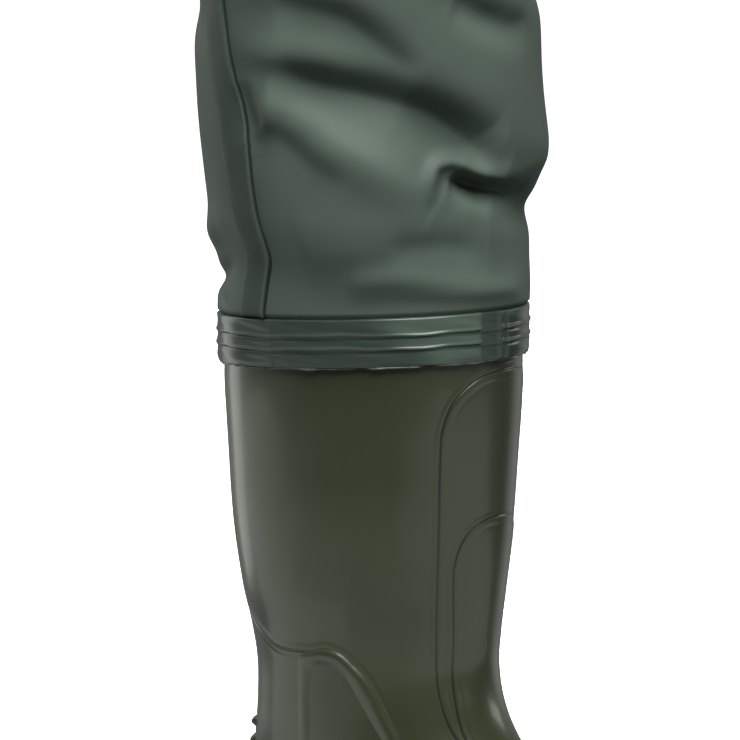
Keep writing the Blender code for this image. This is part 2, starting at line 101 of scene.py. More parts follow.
def linear(code: str) -> tuple[float, float, float, float]:
    """Turns an sRGB hex colour into the linear colour that a shader takes.

    Args:
        code: six hex digits.

    Returns:
        Red, green, blue and an alpha of 1.
    """
    shares = [int(code[i : i + 2], 16) / 255 for i in (0, 2, 4)]
    red, green, blue = (s / 12.92 if s <= 0.04045 else ((s + 0.055) / 1.055) ** 2.4 for s in shares)
    return red, green, blue, 1.0


def add_node(
    tree: Tree, kind: str, settings: Settings | None = None, links: dict[str | int, Socket] | None = None
) -> Node:
    """Adds a shader node.

    Args:
        tree: the material's tree.
        kind: the node's type.
        settings: properties of the node, or values of its inputs by name or number.
        links: sockets that feed its inputs.

    Returns:
        The node.
    """
    node = tree.nodes.new(kind)
    for key, value in (settings or {}).items():
        if isinstance(key, str) and hasattr(node, key):
            setattr(node, key, value)
        else:
            node.inputs[key].default_value = value
    for key, socket in (links or {}).items():
        tree.links.new(socket, node.inputs[key])
    return node


def ease(share: Array | float) -> Array:
    """Eases from 0 to 1 as share runs from 0 to 1."""
    share = np.clip(share, 0.0, 1.0)
    return share * share * (3.0 - 2.0 * share)


def ramp(value: Array | float, start: float, end: float) -> Array:
    """Eases from 0 to 1 as value runs from start to end."""
    return ease((value - start) / (end - start))


def unit(vectors: Array) -> Array:
    """Vectors brought to a length of 1."""
    return vectors / np.linalg.norm(vectors, axis=-1, keepdims=True)


def full_turn(columns: int) -> Array:
    """Turns of the columns of a mesh all the way round, from the back."""
    return np.linspace(-math.pi, math.pi, columns, endpoint=False)


def direction(azimuth: float, elevation: float) -> Spot:
    """Unit direction from the wader into the studio, at degrees about it and above the floor."""
    turn, tilt = math.radians(azimuth), math.radians(elevation)
    return math.sin(turn) * math.cos(tilt), -math.cos(turn) * math.cos(tilt), math.sin(tilt)


def spline(points: Array, closed: bool, fine: int = 24) -> Array:
    """Draws a smooth line through points.

    Args:
        points: one row per point.
        closed: whether the line runs back to its first point.
        fine: steps between two points.

    Returns:
        The line's points; a closed line ends just before its start.
    """
    count = len(points)
    if closed:
        ring = np.concatenate([points[-1:], points, points[:2]])
    else:
        ring = np.concatenate([2 * points[:1] - points[1:2], points, 2 * points[-1:] - points[-2:-1]])
    spans = count if closed else count - 1
    share = np.linspace(0.0, 1.0, fine, endpoint=False)[:, None]
    runs = []
    for i in range(spans):
        a, b, c, d = ring[i : i + 4]
        curve = 2 * a - 5 * b + 4 * c - d
        bend = 3 * (b - c) + d - a
        runs.append(0.5 * (2 * b + (c - a) * share + curve * share**2 + bend * share**3))
    if not closed:
        runs.append(points[-1:])
    return np.concatenate(runs)


def grid_quads(rows: int, columns: int, over: bool) -> Faces:
    """Faces of a grid of points whose rows are rings.

    Args:
        rows: number of rows.
        columns: points in a row.
        over: whether the last row joins the first.

    Returns:
        Four point numbers for each face.
    """
    i = np.arange(rows if over else rows - 1)[:, None]
    j = np.arange(columns)[None, :]
    up, on = (i + 1) % rows, (j + 1) % columns
    corners = (i * columns + j, i * columns + on, up * columns + on, up * columns + j)
    return np.stack(corners, axis=-1).reshape(-1, 4).tolist()


def end_caps(rows: int, columns: int) -> Faces:
    """The two faces that close a tube whose sections are the rows of a grid."""
    last = (rows - 1) * columns
    return [list(range(columns))[::-1], list(range(last, last + columns))]


def add_piece(name: str, points: Array, faces: Faces) -> Piece:
    """Adds a smooth mesh.

    Args:
        name: the piece's name.
        points: its points, in any grid of triples.
        faces: point numbers of each face.

    Returns:
        The new piece.
    """
    mesh = bpy.data.meshes.new(name)
    mesh.from_pydata(points.reshape(-1, 3).tolist(), [], faces)
    mesh.shade_smooth()
    piece = bpy.data.objects.new(name, mesh)
    bpy.context.scene.collection.objects.link(piece)
    return piece


def add_sweep(name: str, points: Array, closed: bool, flip: bool = False) -> Piece:
    """Adds a solid that runs from section to section.

    Args:
        name: the piece's name.
        points: a grid whose rows are closed sections.
        closed: whether the last section joins the first; otherwise both ends are capped.
        flip: whether the faces are turned over.

    Returns:
        The new piece.
    """
    rows, columns = points.shape[:2]
    faces = grid_quads(rows, columns, over=closed)
    if not closed:
        faces += end_caps(rows, columns)
    return add_piece(name, points, [face[::-1] for face in faces] if flip else faces)


def line_inside(piece: Piece, outside: int) -> None:
    """Gives a piece's second material, its lining, to all faces after those of the outside."""
    lined = np.arange(len(piece.data.polygons)) >= outside
    piece.data.polygons.foreach_set("material_index", lined.astype(np.int32))


def lay_shade(piece: Piece, tones: Array) -> None:
    """Gives each point of a piece the factor that its finish's tone takes there: painted light and shade.
    """
    piece.data.attributes.new(SHADE, "FLOAT", "POINT").data.foreach_set("value", tones)


def hand_over(piece: Piece, slot: Slot, *nodes: str) -> Piece:
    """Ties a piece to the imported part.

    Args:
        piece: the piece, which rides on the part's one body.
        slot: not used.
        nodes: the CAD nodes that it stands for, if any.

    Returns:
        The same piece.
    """
    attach(piece, BODY)
    if nodes:
        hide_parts(*nodes)
    return piece


@dataclass(frozen=True)
class Finish:
    """A material as the eye meets it: two close tones, gloss that wanders, and a grain too fine to model.

    tone and second_tone are sRGB hex; patch, gloss_patch, grain and grain_depth are sizes; roughness is the
    range over which the gloss wanders. The tone of a shaded finish follows the mesh's own SHADE values,
    which paint light and shade onto it.
    """

    name: str
    tone: str
    second_tone: str
    patch: float
    roughness: tuple[float, float]
    gloss_patch: float
    grain: float
    grain_depth: float
    ior: float = 1.53
    shine: float = 0.5
    coat: float = 0.0
    coat_roughness: float = 0.1
    shaded: bool = False

    low_share: ClassVar[float] = 0.20
    high_share: ClassVar[float] = 0.80

    def grain_height(self, tree: Tree, place: Socket) -> Socket:
        """Height of the fine grain: a cloudy pebble left by the mould or the roller."""
        settings = {"Scale": 1 / self.grain, "Detail": 2.0}
        return add_node(tree, "ShaderNodeTexNoise", settings, {"Vector": place}).outputs["Fac"]

    def wander(self, tree: Tree, place: Socket, size: float) -> Socket:
        """Lays a soft cloud over the surface.

        Args:
            tree: the material's tree.
            place: the surface's own coordinates.
            size: size of the cloud's patches, in metres.

        Returns:
            The cloud, spread from 0 to 1.
        """
        settings = {"Scale": 1 / size, "Detail": 1.0}
        cloud = add_node(tree, "ShaderNodeTexNoise", settings, {"Vector": place}).outputs["Fac"]
        span = {"interpolation_type": "SMOOTHSTEP", "From Min": self.low_share, "From Max": self.high_share}
        return add_node(tree, "ShaderNodeMapRange", span, {"Value": cloud}).outputs["Result"]

    def material(self) -> bpy.types.Material:
        """Builds the procedural material.

        Returns:
            A new material with the finish's name.
        """
        material = bpy.data.materials.new(self.name)
        material.use_nodes = True
        tree = material.node_tree
        shader = tree.nodes["Principled BSDF"]
        place = add_node(tree, "ShaderNodeTexCoord").outputs["Object"]
        tones = {"data_type": "RGBA", MIX_FIRST: linear(self.tone), MIX_SECOND: linear(self.second_tone)}
        cloud = {MIX_FACTOR: self.wander(tree, place, self.patch)}
        colour = add_node(tree, "ShaderNodeMix", tones, cloud).outputs[MIX_RESULT]
        if self.shaded:
            shade = add_node(tree, "ShaderNodeAttribute", {"attribute_name": SHADE}).outputs["Fac"]
            factors = {"data_type": "RGBA", "blend_type": "MULTIPLY", MIX_FACTOR: 1.0}
            both = {MIX_FIRST: colour, MIX_SECOND: shade}
            colour = add_node(tree, "ShaderNodeMix", factors, both).outputs[MIX_RESULT]
        tree.links.new(colour, shader.inputs["Base Color"])
        span = {"To Min": self.roughness[0], "To Max": self.roughness[1]}
        gloss = {"Value": self.wander(tree, place, self.gloss_patch)}
        rough = add_node(tree, "ShaderNodeMapRange", span, gloss)
        tree.links.new(rough.outputs["Result"], shader.inputs["Roughness"])
        relief = {"Height": self.grain_height(tree, place)}
        bump = add_node(tree, "ShaderNodeBump", {"Distance": self.grain_depth}, relief)
        tree.links.new(bump.outputs["Normal"], shader.inputs["Normal"])
        shader.inputs["IOR"].default_value = self.ior
        shader.inputs["Specular IOR Level"].default_value = self.shine
        shader.inputs["Coat Weight"].default_value = self.coat
        shader.inputs["Coat Roughness"].default_value = self.coat_roughness
        return material


@dataclass(frozen=True)
class Knit(Finish):
    """A textile: the same tones and gloss, with rows of stitches as its grain."""

    # Spacing of a wave texture's bands at a scale of 1, and how far the rows stray
    band_pitch: ClassVar[float] = 0.314
    unevenness: ClassVar[float] = 1.5

    def grain_height(self, tree: Tree, place: Socket) -> Socket:
        """Height of the stitches: level rows, broken up by a little unevenness.

        Args:
            tree: the material's tree.
            place: the surface's own coordinates.

        Returns:
            The height, from 0 to 1.
        """
        settings = {"wave_type": "BANDS", "bands_direction": "Z"}
        settings |= {"Scale": self.band_pitch / self.grain, "Distortion": self.unevenness}
        return add_node(tree, "ShaderNodeTexWave", settings, {"Vector": place}).outputs["Fac"]


# Injection-moulded plasticised PVC: dark olive, an even satin gloss that draws broad soft reflections.
BOOT_PVC = Finish(
    name="injection_moulded_pvc_olive",
    tone="2d3521",
    second_tone="353e28",
    patch=0.060,
    roughness=(0.285, 0.35),
    gloss_patch=0.030,
    grain=0.0030,
    grain_depth=0.00003,
    coat=0.25,
    coat_roughness=0.12,
)
# The same moulding along its parting lines, with painted shade on the floor of each fine groove.
GROOVED_PVC = replace(BOOT_PVC, name="injection_moulded_pvc_grooved", shaded=True)
# The same PVC, harder and filled darker for the tread: duller, because its tool was blasted.
SOLE_PVC = Finish(
    name="injection_moulded_pvc_tread",
    tone="20231a",
    second_tone="292c22",
    patch=0.050,
    roughness=(0.42, 0.55),
    gloss_patch=0.020,
    grain=0.0016,
    grain_depth=0.00006,
)
# Polyester cloth roller-coated with PVC: grey-green, smooth and satin, so folds show as soft bright ridges.
LEG_PVC = Finish(
    name="roller_coated_pvc_fabric",
    tone="4f5c53",
    second_tone="566359",
    patch=0.080,
    roughness=(0.50, 0.60),
    gloss_patch=0.040,
    grain=0.0022,
    grain_depth=0.00002,
    shine=0.14,
)
# The lap strip is the same cloth pressed harder by the welding tool: a little darker and duller.
STRIP_PVC = Finish(
    name="hot_pressed_pvc_lap",
    tone="3f4a42",
    second_tone="455048",
    patch=0.030,
    roughness=(0.46, 0.58),
    gloss_patch=0.015,
    grain=0.0018,
    grain_depth=0.00003,
    shine=0.12,
    shaded=True,
)
# Weld band melted in a ribbed press: slightly darker than the leg, with glossy squeezed-out edges.
BAND_PVC = Finish(
    name="hot_pressed_pvc_band",
    tone="36413a",
    second_tone="3d4940",
    patch=0.025,
    roughness=(0.20, 0.26),
    gloss_patch=0.012,
    grain=0.0024,
    grain_depth=0.00003,
    shine=0.34,
    shaded=True,
)
# Flash squeezed out of the weld: PVC that has flowed, so it is the glossiest part.
FLASH_PVC = Finish(
    name="flowed_pvc_flash",
    tone="49534a",
    second_tone="5a655c",
    patch=0.008,
    roughness=(0.10, 0.22),
    gloss_patch=0.006,
    grain=0.0012,
    grain_depth=0.00004,
)
# Knitted nylon backing: pale and matt. Its stitches, 0.6 mm apart, are drawn at 1.5 mm to hold in view.
LINING = Knit(
    name="knitted_nylon_lining",
    tone="8b8d84",
    second_tone="96988f",
    patch=0.040,
    roughness=(0.80, 0.92),
    gloss_patch=0.020,
    grain=0.0015,
    grain_depth=0.00025,
)
# Needled felt insole: grey and matt, with a cloudy fibre surface.
FELT = Finish(
    name="needled_felt_insole",
    tone="77776e",
    second_tone="85857b",
    patch=0.012,
    roughness=(0.88, 0.96),
    gloss_patch=0.010,
    grain=0.0014,
    grain_depth=0.0004,
)


@dataclass(frozen=True)
class Table:
    """Rows of named columns, read on a smooth cubic along the first column."""

    names: tuple[str, ...]
    rows: Rows

    def at(self, place: Array) -> dict[str, Array]:
        """Reads the table.

        Args:
            place: places along the first column.

        Returns:
            The other columns by name, at each place.
        """
        rows = np.array(self.rows)
        key = rows[:, 0]
        slope = np.empty_like(rows)
        slope[1:-1] = (rows[2:] - rows[:-2]) / (key[2:] - key[:-2])[:, None]
        slope[0] = (rows[1] - rows[0]) / (key[1] - key[0])
        slope[-1] = (rows[-1] - rows[-2]) / (key[-1] - key[-2])
        place = np.clip(place, key[0], key[-1])
        low = np.clip(np.searchsorted(key, place) - 1, 0, len(key) - 2)
        span = (key[low + 1] - key[low])[..., None]
        t = (place[..., None] - key[low][..., None]) / span
        rising = rows[low] * (1 + 2 * t) + slope[low] * span * t
        falling = rows[low + 1] * (3 - 2 * t) + slope[low + 1] * span * (t - 1)
        value = rising * (1 - t) ** 2 + falling * t * t
        return {name: value[..., i] for i, name in enumerate(self.names)}


class Skin:
    """A surface of the wader, read at a turn about the leg and a height; both are arrays."""

    turn_probe: ClassVar[float] = 0.010
    height_probe: ClassVar[float] = 0.0006
    nearest_steps: ClassVar[int] = 4

    def point(self, turn: Array, height: Array) -> Array:
        """Points on the surface."""
        raise NotImplementedError

    def slopes(self, turn: Array, height: Array) -> tuple[Array, Array]:
        """Measures how the surface runs.

        Args:
            turn: turns about the leg.
            height: heights.

        Returns:
            The change of the point with the turn, and its change with the height.
        """
        step, rise = self.turn_probe, self.height_probe
        around = (self.point(turn + step, height) - self.point(turn - step, height)) / (2 * step)
        rising = (self.point(turn, height + rise) - self.point(turn, height - rise)) / (2 * rise)
        return around, rising

    def outward(self, turn: Array, height: Array) -> Array:
        """Unit normals, out of the wader."""
        return unit(np.cross(*self.slopes(turn, height)))

    def raised(self, turn: Array, height: Array, proud: Array | float) -> Array:
        """Points that stand proud of the surface."""
        lift = np.broadcast_to(proud, np.broadcast(turn, height).shape)
        return self.point(turn, height) + self.outward(turn, height) * lift[..., None]

    def nearest(self, turn: Array, height: Array, target: Array) -> tuple[Array, Array]:
        """Finds the turns and heights of the surface under points near it.

        Args:
            turn: first guess.
            height: first guess.
            target: the points.

        Returns:
            Turns and heights.
        """
        for _ in range(self.nearest_steps):
            away = target - self.point(turn, height)
            around, rising = self.slopes(turn, height)
            pairs = ((around, around), (around, rising), (rising, rising))
            aa, ar, rr = ((p * q).sum(-1) for p, q in pairs)
            da, dr = (away * around).sum(-1), (away * rising).sum(-1)
            scale = aa * rr - ar * ar
            turn = turn + (rr * da - ar * dr) / scale
            height = height + (aa * dr - ar * da) / scale
        return turn, height


@dataclass(frozen=True)
class BootSkin(Skin):
    """Outside of the moulded boot without its guards."""

    foot_length: float = 0.290
    ball_width: float = 0.100
    top: float = 0.295
    heel_height: float = 0.030
    forefoot_height: float = 0.023
    toe_swing: float = 0.010
    swing_start: float = 0.080
    toe_tip: float = 0.245
    waist_place: float = 0.055
    waist_spread: float = 0.040
    waist_inner: float = 0.23
    waist_outer: float = 0.13
    waist_top: float = 0.080
    level_top: float = 0.105
    fall_start: float = 0.020
    fall_end: float = 0.125
    spring_start: float = 0.150
    toe_spring: float = 0.009
    lift_start: float = 0.188
    tread_lift: float = 0.010
    collar_slope: float = 0.057
    collar_middle: float = 0.018
    slope_foot: float = 0.245
    slope_head: float = 0.2724
    slope_fade: float = 0.110

    sections: ClassVar[Table] = Table(
        ("height", "back", "front", "widest", "outer", "inner", "fore", "aft"),
        (
            (0.1017, -0.152, 0.838, 0.460, 0.495, 0.485, 2.30, 2.50),
            (0.128, -0.159, 0.843, 0.450, 0.505, 0.495, 2.30, 2.50),
            (0.152, -0.161, 0.828, 0.430, 0.495, 0.485, 2.20, 2.50),
            (0.175, -0.160, 0.797, 0.380, 0.470, 0.460, 2.10, 2.50),
            (0.199, -0.158, 0.741, 0.310, 0.445, 0.440, 2.00, 2.50),
            (0.216, -0.156, 0.662, 0.240, 0.430, 0.430, 2.00, 2.40),
            (0.232, -0.153, 0.555, 0.180, 0.420, 0.420, 2.00, 2.40),
            (0.253, -0.149, 0.462, 0.140, 0.418, 0.418, 2.00, 2.40),
            (0.280, -0.143, 0.391, 0.100, 0.422, 0.422, 2.00, 2.30),
            (0.313, -0.134, 0.343, 0.080, 0.427, 0.427, 2.00, 2.20),
            (0.354, -0.127, 0.303, 0.065, 0.432, 0.432, 2.00, 2.20),
            (0.407, -0.122, 0.274, 0.055, 0.436, 0.436, 2.00, 2.15),
            (0.465, -0.121, 0.262, 0.050, 0.444, 0.444, 2.00, 2.15),
            (0.519, -0.130, 0.265, 0.045, 0.460, 0.460, 2.00, 2.15),
            (0.579, -0.145, 0.272, 0.042, 0.487, 0.487, 2.00, 2.15),
            (0.673, -0.160, 0.284, 0.040, 0.515, 0.515, 2.00, 2.15),
            (0.788, -0.168, 0.293, 0.040, 0.534, 0.534, 2.00, 2.15),
            (0.886, -0.173, 0.300, 0.040, 0.550, 0.550, 2.00, 2.15),
            (0.938, -0.173, 0.301, 0.040, 0.551, 0.551, 2.00, 2.15),
            (1.000, -0.173, 0.301, 0.040, 0.552, 0.552, 2.00, 2.15),
        ),
    )

    def towards_tip(self, x: Array, start: float) -> Array:
        """Square of the share of the way from a start to the toe's tip, so that a bend sets in softly."""
        return np.maximum(0.0, (x - start) / (self.toe_tip - start)) ** 2

    def sole_top(self, x: Array) -> Array:
        """Finds the line where the upper meets the sole.

        Args:
            x: places along the foot.

        Returns:
            Heights of the line.
        """
        drop = self.heel_height - self.forefoot_height
        fall = drop * ramp(x, self.fall_start, self.fall_end)
        spring = self.toe_spring * ramp(x, self.spring_start, self.toe_tip)
        return self.heel_height - fall + spring

    def sole_bottom(self, x: Array) -> Array:
        """Height of the tread: flat under heel and ball, lifted at the toe."""
        return self.tread_lift * self.towards_tip(x, self.lift_start)

    def collar_lift(self, x: Array, height: Array) -> Array:
        """Works out how far the collar line's climb to the front lifts a place of the boot or the leg.

        Args:
            x: places along the foot.
            height: heights measured at the heel.

        Returns:
            Distances upwards.
        """
        share = ramp(height, self.slope_foot, self.slope_head)
        share = share - ease((height - self.top) / self.slope_fade)
        return self.collar_slope * (x - self.collar_middle) * share

    def point(self, turn: Array, height: Array) -> Array:
        """Finds points on the boot's outside.

        Args:
            turn: turns from the toe.
            height: heights measured at the heel.

        Returns:
            The points.
        """
        turn, height = np.broadcast_arrays(turn, height)
        row = self.sections.at(height / self.top)
        along, across = np.cos(turn), np.sin(turn)
        end = np.where(along > 0, row["front"], row["back"])
        square = 2 / np.where(along > 0, row["fore"], row["aft"])
        half = np.where(across > 0, row["inner"], row["outer"])
        pinch = np.where(across > 0, self.waist_inner, self.waist_outer)
        x = self.foot_length * (row["widest"] + (end - row["widest"]) * np.abs(along) ** square)
        low = 1 - ramp(height, self.heel_height, self.waist_top)
        pinch = pinch * np.exp(-0.5 * ((x - self.waist_place) / self.waist_spread) ** 2) * low
        swing = self.toe_swing * self.towards_tip(x, self.swing_start)
        side = np.sign(across) * np.abs(across) ** square
        y = swing + self.ball_width * half * (1 - pinch) * side
        level = 1 - ramp(height, self.heel_height, self.level_top)
        z = height + (self.sole_top(x) - self.heel_height) * level + self.collar_lift(x, height)
        return np.stack([x, y, z], axis=-1)

    def turn_at(self, x: Array, height: Array) -> Array:
        """Finds where the outside passes places along the foot.

        Args:
            x: places along the foot.
            height: heights measured at the heel.

        Returns:
            Turns from the toe, all positive.
        """
        row = self.sections.at(height / self.top)
        ahead = x > self.foot_length * row["widest"]
        end = np.where(ahead, row["front"], row["back"])
        square = np.where(ahead, row["fore"], row["aft"])
        along = ((x / self.foot_length - row["widest"]) / (end - row["widest"])) ** (square / 2)
        return np.arccos(np.where(ahead, along, -along))


@dataclass(frozen=True)
class Crease:
    """One fold of the leg: a ridge where depth is positive, a trough where it is negative.

    path holds turns in degrees from the front to the outer side, heights in mm and shares of the depth;
    above, below, depth and taper are in mm: the fold's reach to either side and the run-out at its ends.
    """

    path: Rows
    above: float
    below: float
    depth: float
    taper: float = 14.0
    power: float = 2.0

    radius: ClassVar[float] = 74.0
    least: ClassVar[float] = 0.01

    def rise(self, turn: Array, height: Array) -> Array:
        """Works out how far the fold pushes the leg's surface out.

        Args:
            turn: turns about the leg.
            height: heights in metres.

        Returns:
            Distances in metres.
        """
        path = np.array(self.path)
        middle = np.radians(path[:, 0].mean())
        turns = np.radians(path[:, 0]) - middle
        line = spline(np.column_stack([turns, path[:, 1:]]), closed=False, fine=6)
        line[:, 0] *= self.radius
        apart = -turn - middle
        u = np.arctan2(np.sin(apart), np.cos(apart)) * self.radius
        v = height / MM
        steps = np.diff(line[:, :2], axis=0)
        lengths = np.linalg.norm(steps, axis=1)
        start = np.concatenate([[0.0], np.cumsum(lengths)])
        best = np.full(u.shape, np.inf)
        run, level, share = np.zeros(u.shape), np.zeros(u.shape), np.zeros(u.shape)
        for i, (step, length) in enumerate(zip(steps, lengths)):
            across, up = u - line[i, 0], v - line[i, 1]
            t = np.clip((across * step[0] + up * step[1]) / length**2, 0.0, 1.0)
            far = np.hypot(across - t * step[0], up - t * step[1])
            closer = far < best
            best = np.where(closer, far, best)
            run = np.where(closer, start[i] + t * length, run)
            level = np.where(closer, line[i, 1] + t * step[1], level)
            share = np.where(closer, line[i, 2] + t * (line[i + 1, 2] - line[i, 2]), share)
        upper = ease(0.5 + 0.5 * (v - level) / np.maximum(best, self.least))
        reach = self.below + (self.above - self.below) * upper
        ends = ease((run + self.taper / 2) / self.taper)
        ends = ends * ease((start[-1] - run + self.taper / 2) / self.taper)
        return self.depth * MM * share * ends * np.exp(-((best / reach) ** self.power))


@dataclass(frozen=True)
class LegSkin(Skin):
    """Outside of the leg: an oval tube that grows out of the boot's collar, with its folds."""

    boot: BootSkin
    top: float = 0.790
    girth: float = 0.640
    margin: float = 0.0013
    roll: float = 0.0017
    roll_foot: float = 0.2945
    roll_height: float = 0.0014
    blend: float = 0.030
    fold_fade: float = 0.009
    ripple: float = 0.00022

    # The ripple's two waves: crests in a turn, change with the height, and lag
    ripple_waves: ClassVar[Rows] = ((5, 70, 0.0), (3, -95, 1.0))
    rings: ClassVar[Table] = Table(
        ("rise", "centre", "half_length", "half_width"),
        (
            (0.000, 0.062, 0.701, 0.562),
            (0.045, 0.060, 0.700, 0.585),
            (0.090, 0.056, 0.728, 0.630),
            (0.150, 0.056, 0.762, 0.680),
            (0.270, 0.045, 0.775, 0.692),
            (0.420, 0.045, 0.810, 0.722),
            (0.700, 0.045, 0.930, 0.830),
            (1.000, 0.045, 1.060, 0.948),
        ),
    )
    creases: ClassVar[tuple[Crease, ...]] = (
        # Upper front: two slanting troughs with a broad ridge between them and the long crease
        Crease(
            (
                (92, 428, 0.5), (81, 428, 0.85), (69.5, 424.5, 1.0), (63, 419.5, 1.1), (57, 413.5, 1.0),
                (52.5, 409, 0.85), (48, 405, 0.6), (42, 400.5, 0.2),
            ),
            8.0, 26.0, -6.0, taper=24.0,
        ),
        Crease(
            ((30, 434, 0.7), (20, 428, 1.0), (12.5, 424.5, 1.0), (4, 421, 0.7), (-6, 420, 0.3)),
            6.0, 9.0, -5.0,
        ),
        Crease(((-8, 446, 0.8), (-25, 441, 1.0), (-45, 440, 0.8)), 14.0, 12.0, -5.0),
        Crease(
            (
                (104, 414, 0.5), (97, 410, 1.0), (89, 409, 1.0), (80, 408, 0.9), (70, 406.5, 0.7),
                (60, 404, 0.4),
            ),
            10.0, 6.0, 1.7, taper=26.0,
        ),
        # The long crease that deepens towards the front
        Crease(
            (
                (95, 399.5, 0.3), (88, 398, 0.7), (80, 396, 0.9), (72, 394, 0.95), (64.5, 392.5, 1.0),
                (58.5, 391, 1.0), (53, 389.5, 1.0), (47, 387.5, 1.05), (41, 385, 1.1), (35, 381.5, 1.15),
                (28.5, 377, 1.15), (21.5, 371, 1.05), (17.5, 367, 0.85), (12.5, 363.5, 0.5), (6, 361, 0.2),
            ),
            9.8, 33.0, -12.2, taper=20.0, power=1.75,
        ),
        # The slanting ridge below it and the hollow under the ridge
        Crease(
            (
                (100, 389.5, 0.7), (95.5, 387, 1.0), (89.5, 383, 1.0), (83, 379.5, 1.0), (77, 373.5, 0.95),
                (71.5, 369.5, 0.9), (65.5, 365.5, 0.85), (57, 358, 0.78), (45, 350, 0.62), (38, 347, 0.4),
            ),
            8.5, 12.0, 3.1, taper=20.0,
        ),
        Crease(
            ((107, 398, 0.4), (106.5, 388, 1.0), (105.5, 379, 1.0), (104, 366, 0.4)),
            6.5, 6.5, -3.0, taper=18.0,
        ),
        Crease(
            ((100, 378, 0.7), (97, 373, 1.0), (90, 366, 1.0), (82, 358, 0.8), (70, 350, 0.3)),
            8.0, 20.0, -3.2,
        ),
        Crease(
            ((88, 320, 0.5), (75, 325, 1.0), (58, 329, 1.0), (42, 330, 0.9), (28, 328, 0.4)),
            20.0, 16.0, 2.2,
        ),
        # The eye-shaped pit where the folds meet, its lip and the short upright ridge above it
        Crease(
            (
                (31, 352.5, 0.25), (25, 350.5, 0.7), (21, 349.5, 1.0), (16, 348, 1.05), (11, 347.5, 0.85),
                (1.5, 346.5, 0.45), (-10, 345, 0.2),
            ),
            3.9, 6.0, -10.5, taper=8.0, power=1.9,
        ),
        Crease(
            (
                (38.5, 342, 0.1), (39, 348, 0.45), (38.5, 354.5, 0.95), (36, 360, 1.0), (30.5, 361.5, 1.0),
                (24, 360, 1.0), (18, 356, 0.9), (12, 353.5, 0.7),
            ),
            4.0, 3.5, 3.2, taper=12.0,
        ),
        Crease(((9, 378, 0.5), (10.5, 369, 1.0), (11, 361, 0.8)), 5.0, 5.0, 1.6, taper=12.0),
        # The hollow and the lens-shaped ridge above the band
        Crease(
            (
                (57, 323.5, 0.2), (50, 324.5, 0.9), (42, 325, 1.0), (35, 324.5, 1.0), (27.5, 323, 0.9),
                (19.5, 320.5, 0.5),
            ),
            6.5, 6.0, -1.6,
        ),
        Crease(
            (
                (71, 309.5, 0.4), (62, 310.5, 1.0), (52, 310.5, 1.1), (41, 308.5, 1.1), (28.5, 305.5, 1.0),
                (12, 302.5, 0.9), (-4, 300.5, 0.4),
            ),
            6.5, 7.5, 2.1,
        ),
        # Front edge as seen against the light: a bulge over a hollow
        Crease(
            ((-62, 364, 0.8), (-40, 362, 1.0), (-18, 360.5, 1.0), (0, 359, 0.6), (10, 358, 0.3)),
            17.0, 8.0, 2.6,
        ),
        Crease(
            ((-62, 337, 0.8), (-38, 337, 1.0), (-18, 336, 1.0), (0, 338, 0.8), (14, 339, 0.5)),
            8.0, 9.0, -4.0,
        ),
        # Back edge: a bulge over small creases that run into the band
        Crease(((134, 333, 0.7), (150, 329, 1.0), (172, 326, 0.6)), 8.0, 8.0, 3.0),
        Crease(
            ((128, 316, 0.6), (140, 312, 1.0), (152, 309.5, 1.0), (172, 308, 0.5)),
            4.0, 5.0, -3.2, taper=10.0,
        ),
        Crease(((146, 307, 0.7), (135, 301, 1.0), (126, 296, 0.8)), 3.0, 3.0, -1.8, taper=8.0),
        # Sides that the picture hides: a few plain folds of the same kind
        Crease(((222, 361, 0.6), (200, 355, 1.0), (178, 349, 0.7)), 12.0, 10.0, -6.0),
        Crease(((-88, 382, 0.6), (-110, 390, 1.0), (-136, 399, 0.6)), 12.0, 10.0, -6.0),
        Crease(((-92, 335, 0.6), (-118, 340, 1.0), (-140, 338, 0.6)), 8.0, 7.0, -3.5),
        Crease(((190, 435, 0.6), (160, 430, 1.0), (132, 424, 0.6)), 15.0, 13.0, -4.5),
        Crease(((-32, 482, 0.6), (-60, 490, 1.0), (-92, 500, 0.6)), 18.0, 14.0, -5.0),
        Crease(((70, 520, 0.6), (40, 512, 1.0), (10, 500, 0.6)), 20.0, 14.0, -5.0),
        Crease(((200, 560, 0.6), (165, 552, 1.0), (130, 540, 0.6)), 20.0, 16.0, -5.0),
    )

    def form(self, turn: Array, height: Array) -> Array:
        """Finds points on the leg without its folds.

        Args:
            turn: turns from the front.
            height: heights measured at the heel.

        Returns:
            The points.
        """
        turn, height = np.broadcast_arrays(turn, height)
        row = self.rings.at((height - self.boot.top) / (self.top - self.boot.top))
        radius = self.girth / (2 * math.pi)
        x = self.boot.foot_length * row["centre"] + radius * row["half_length"] * np.cos(turn)
        y = radius * row["half_width"] * np.sin(turn)
        own = np.stack([x, y, height + self.boot.collar_lift(x, height)], axis=-1)
        margin = self.margin + self.roll * ease((height - self.roll_foot) / self.roll_height)
        collar = self.boot.raised(turn, np.minimum(height, self.boot.top), margin)
        collar[..., 2] += np.maximum(0.0, height - self.boot.top)
        share = ease((height - self.boot.top) / self.blend)[..., None]
        return collar * (1 - share) + own * share

    def folds(self, turn: Array, height: Array) -> Array:
        """Adds up the folds.

        Args:
            turn: turns from the front.
            height: heights measured at the heel.

        Returns:
            How far they push the surface out.
        """
        total = self.ripple
        for crests, climb, lag in self.ripple_waves:
            total = total * np.sin(crests * turn + climb * height + lag)
        for crease in self.creases:
            total = total + crease.rise(turn, height)
        return total * ease((height - self.boot.top) / self.fold_fade)

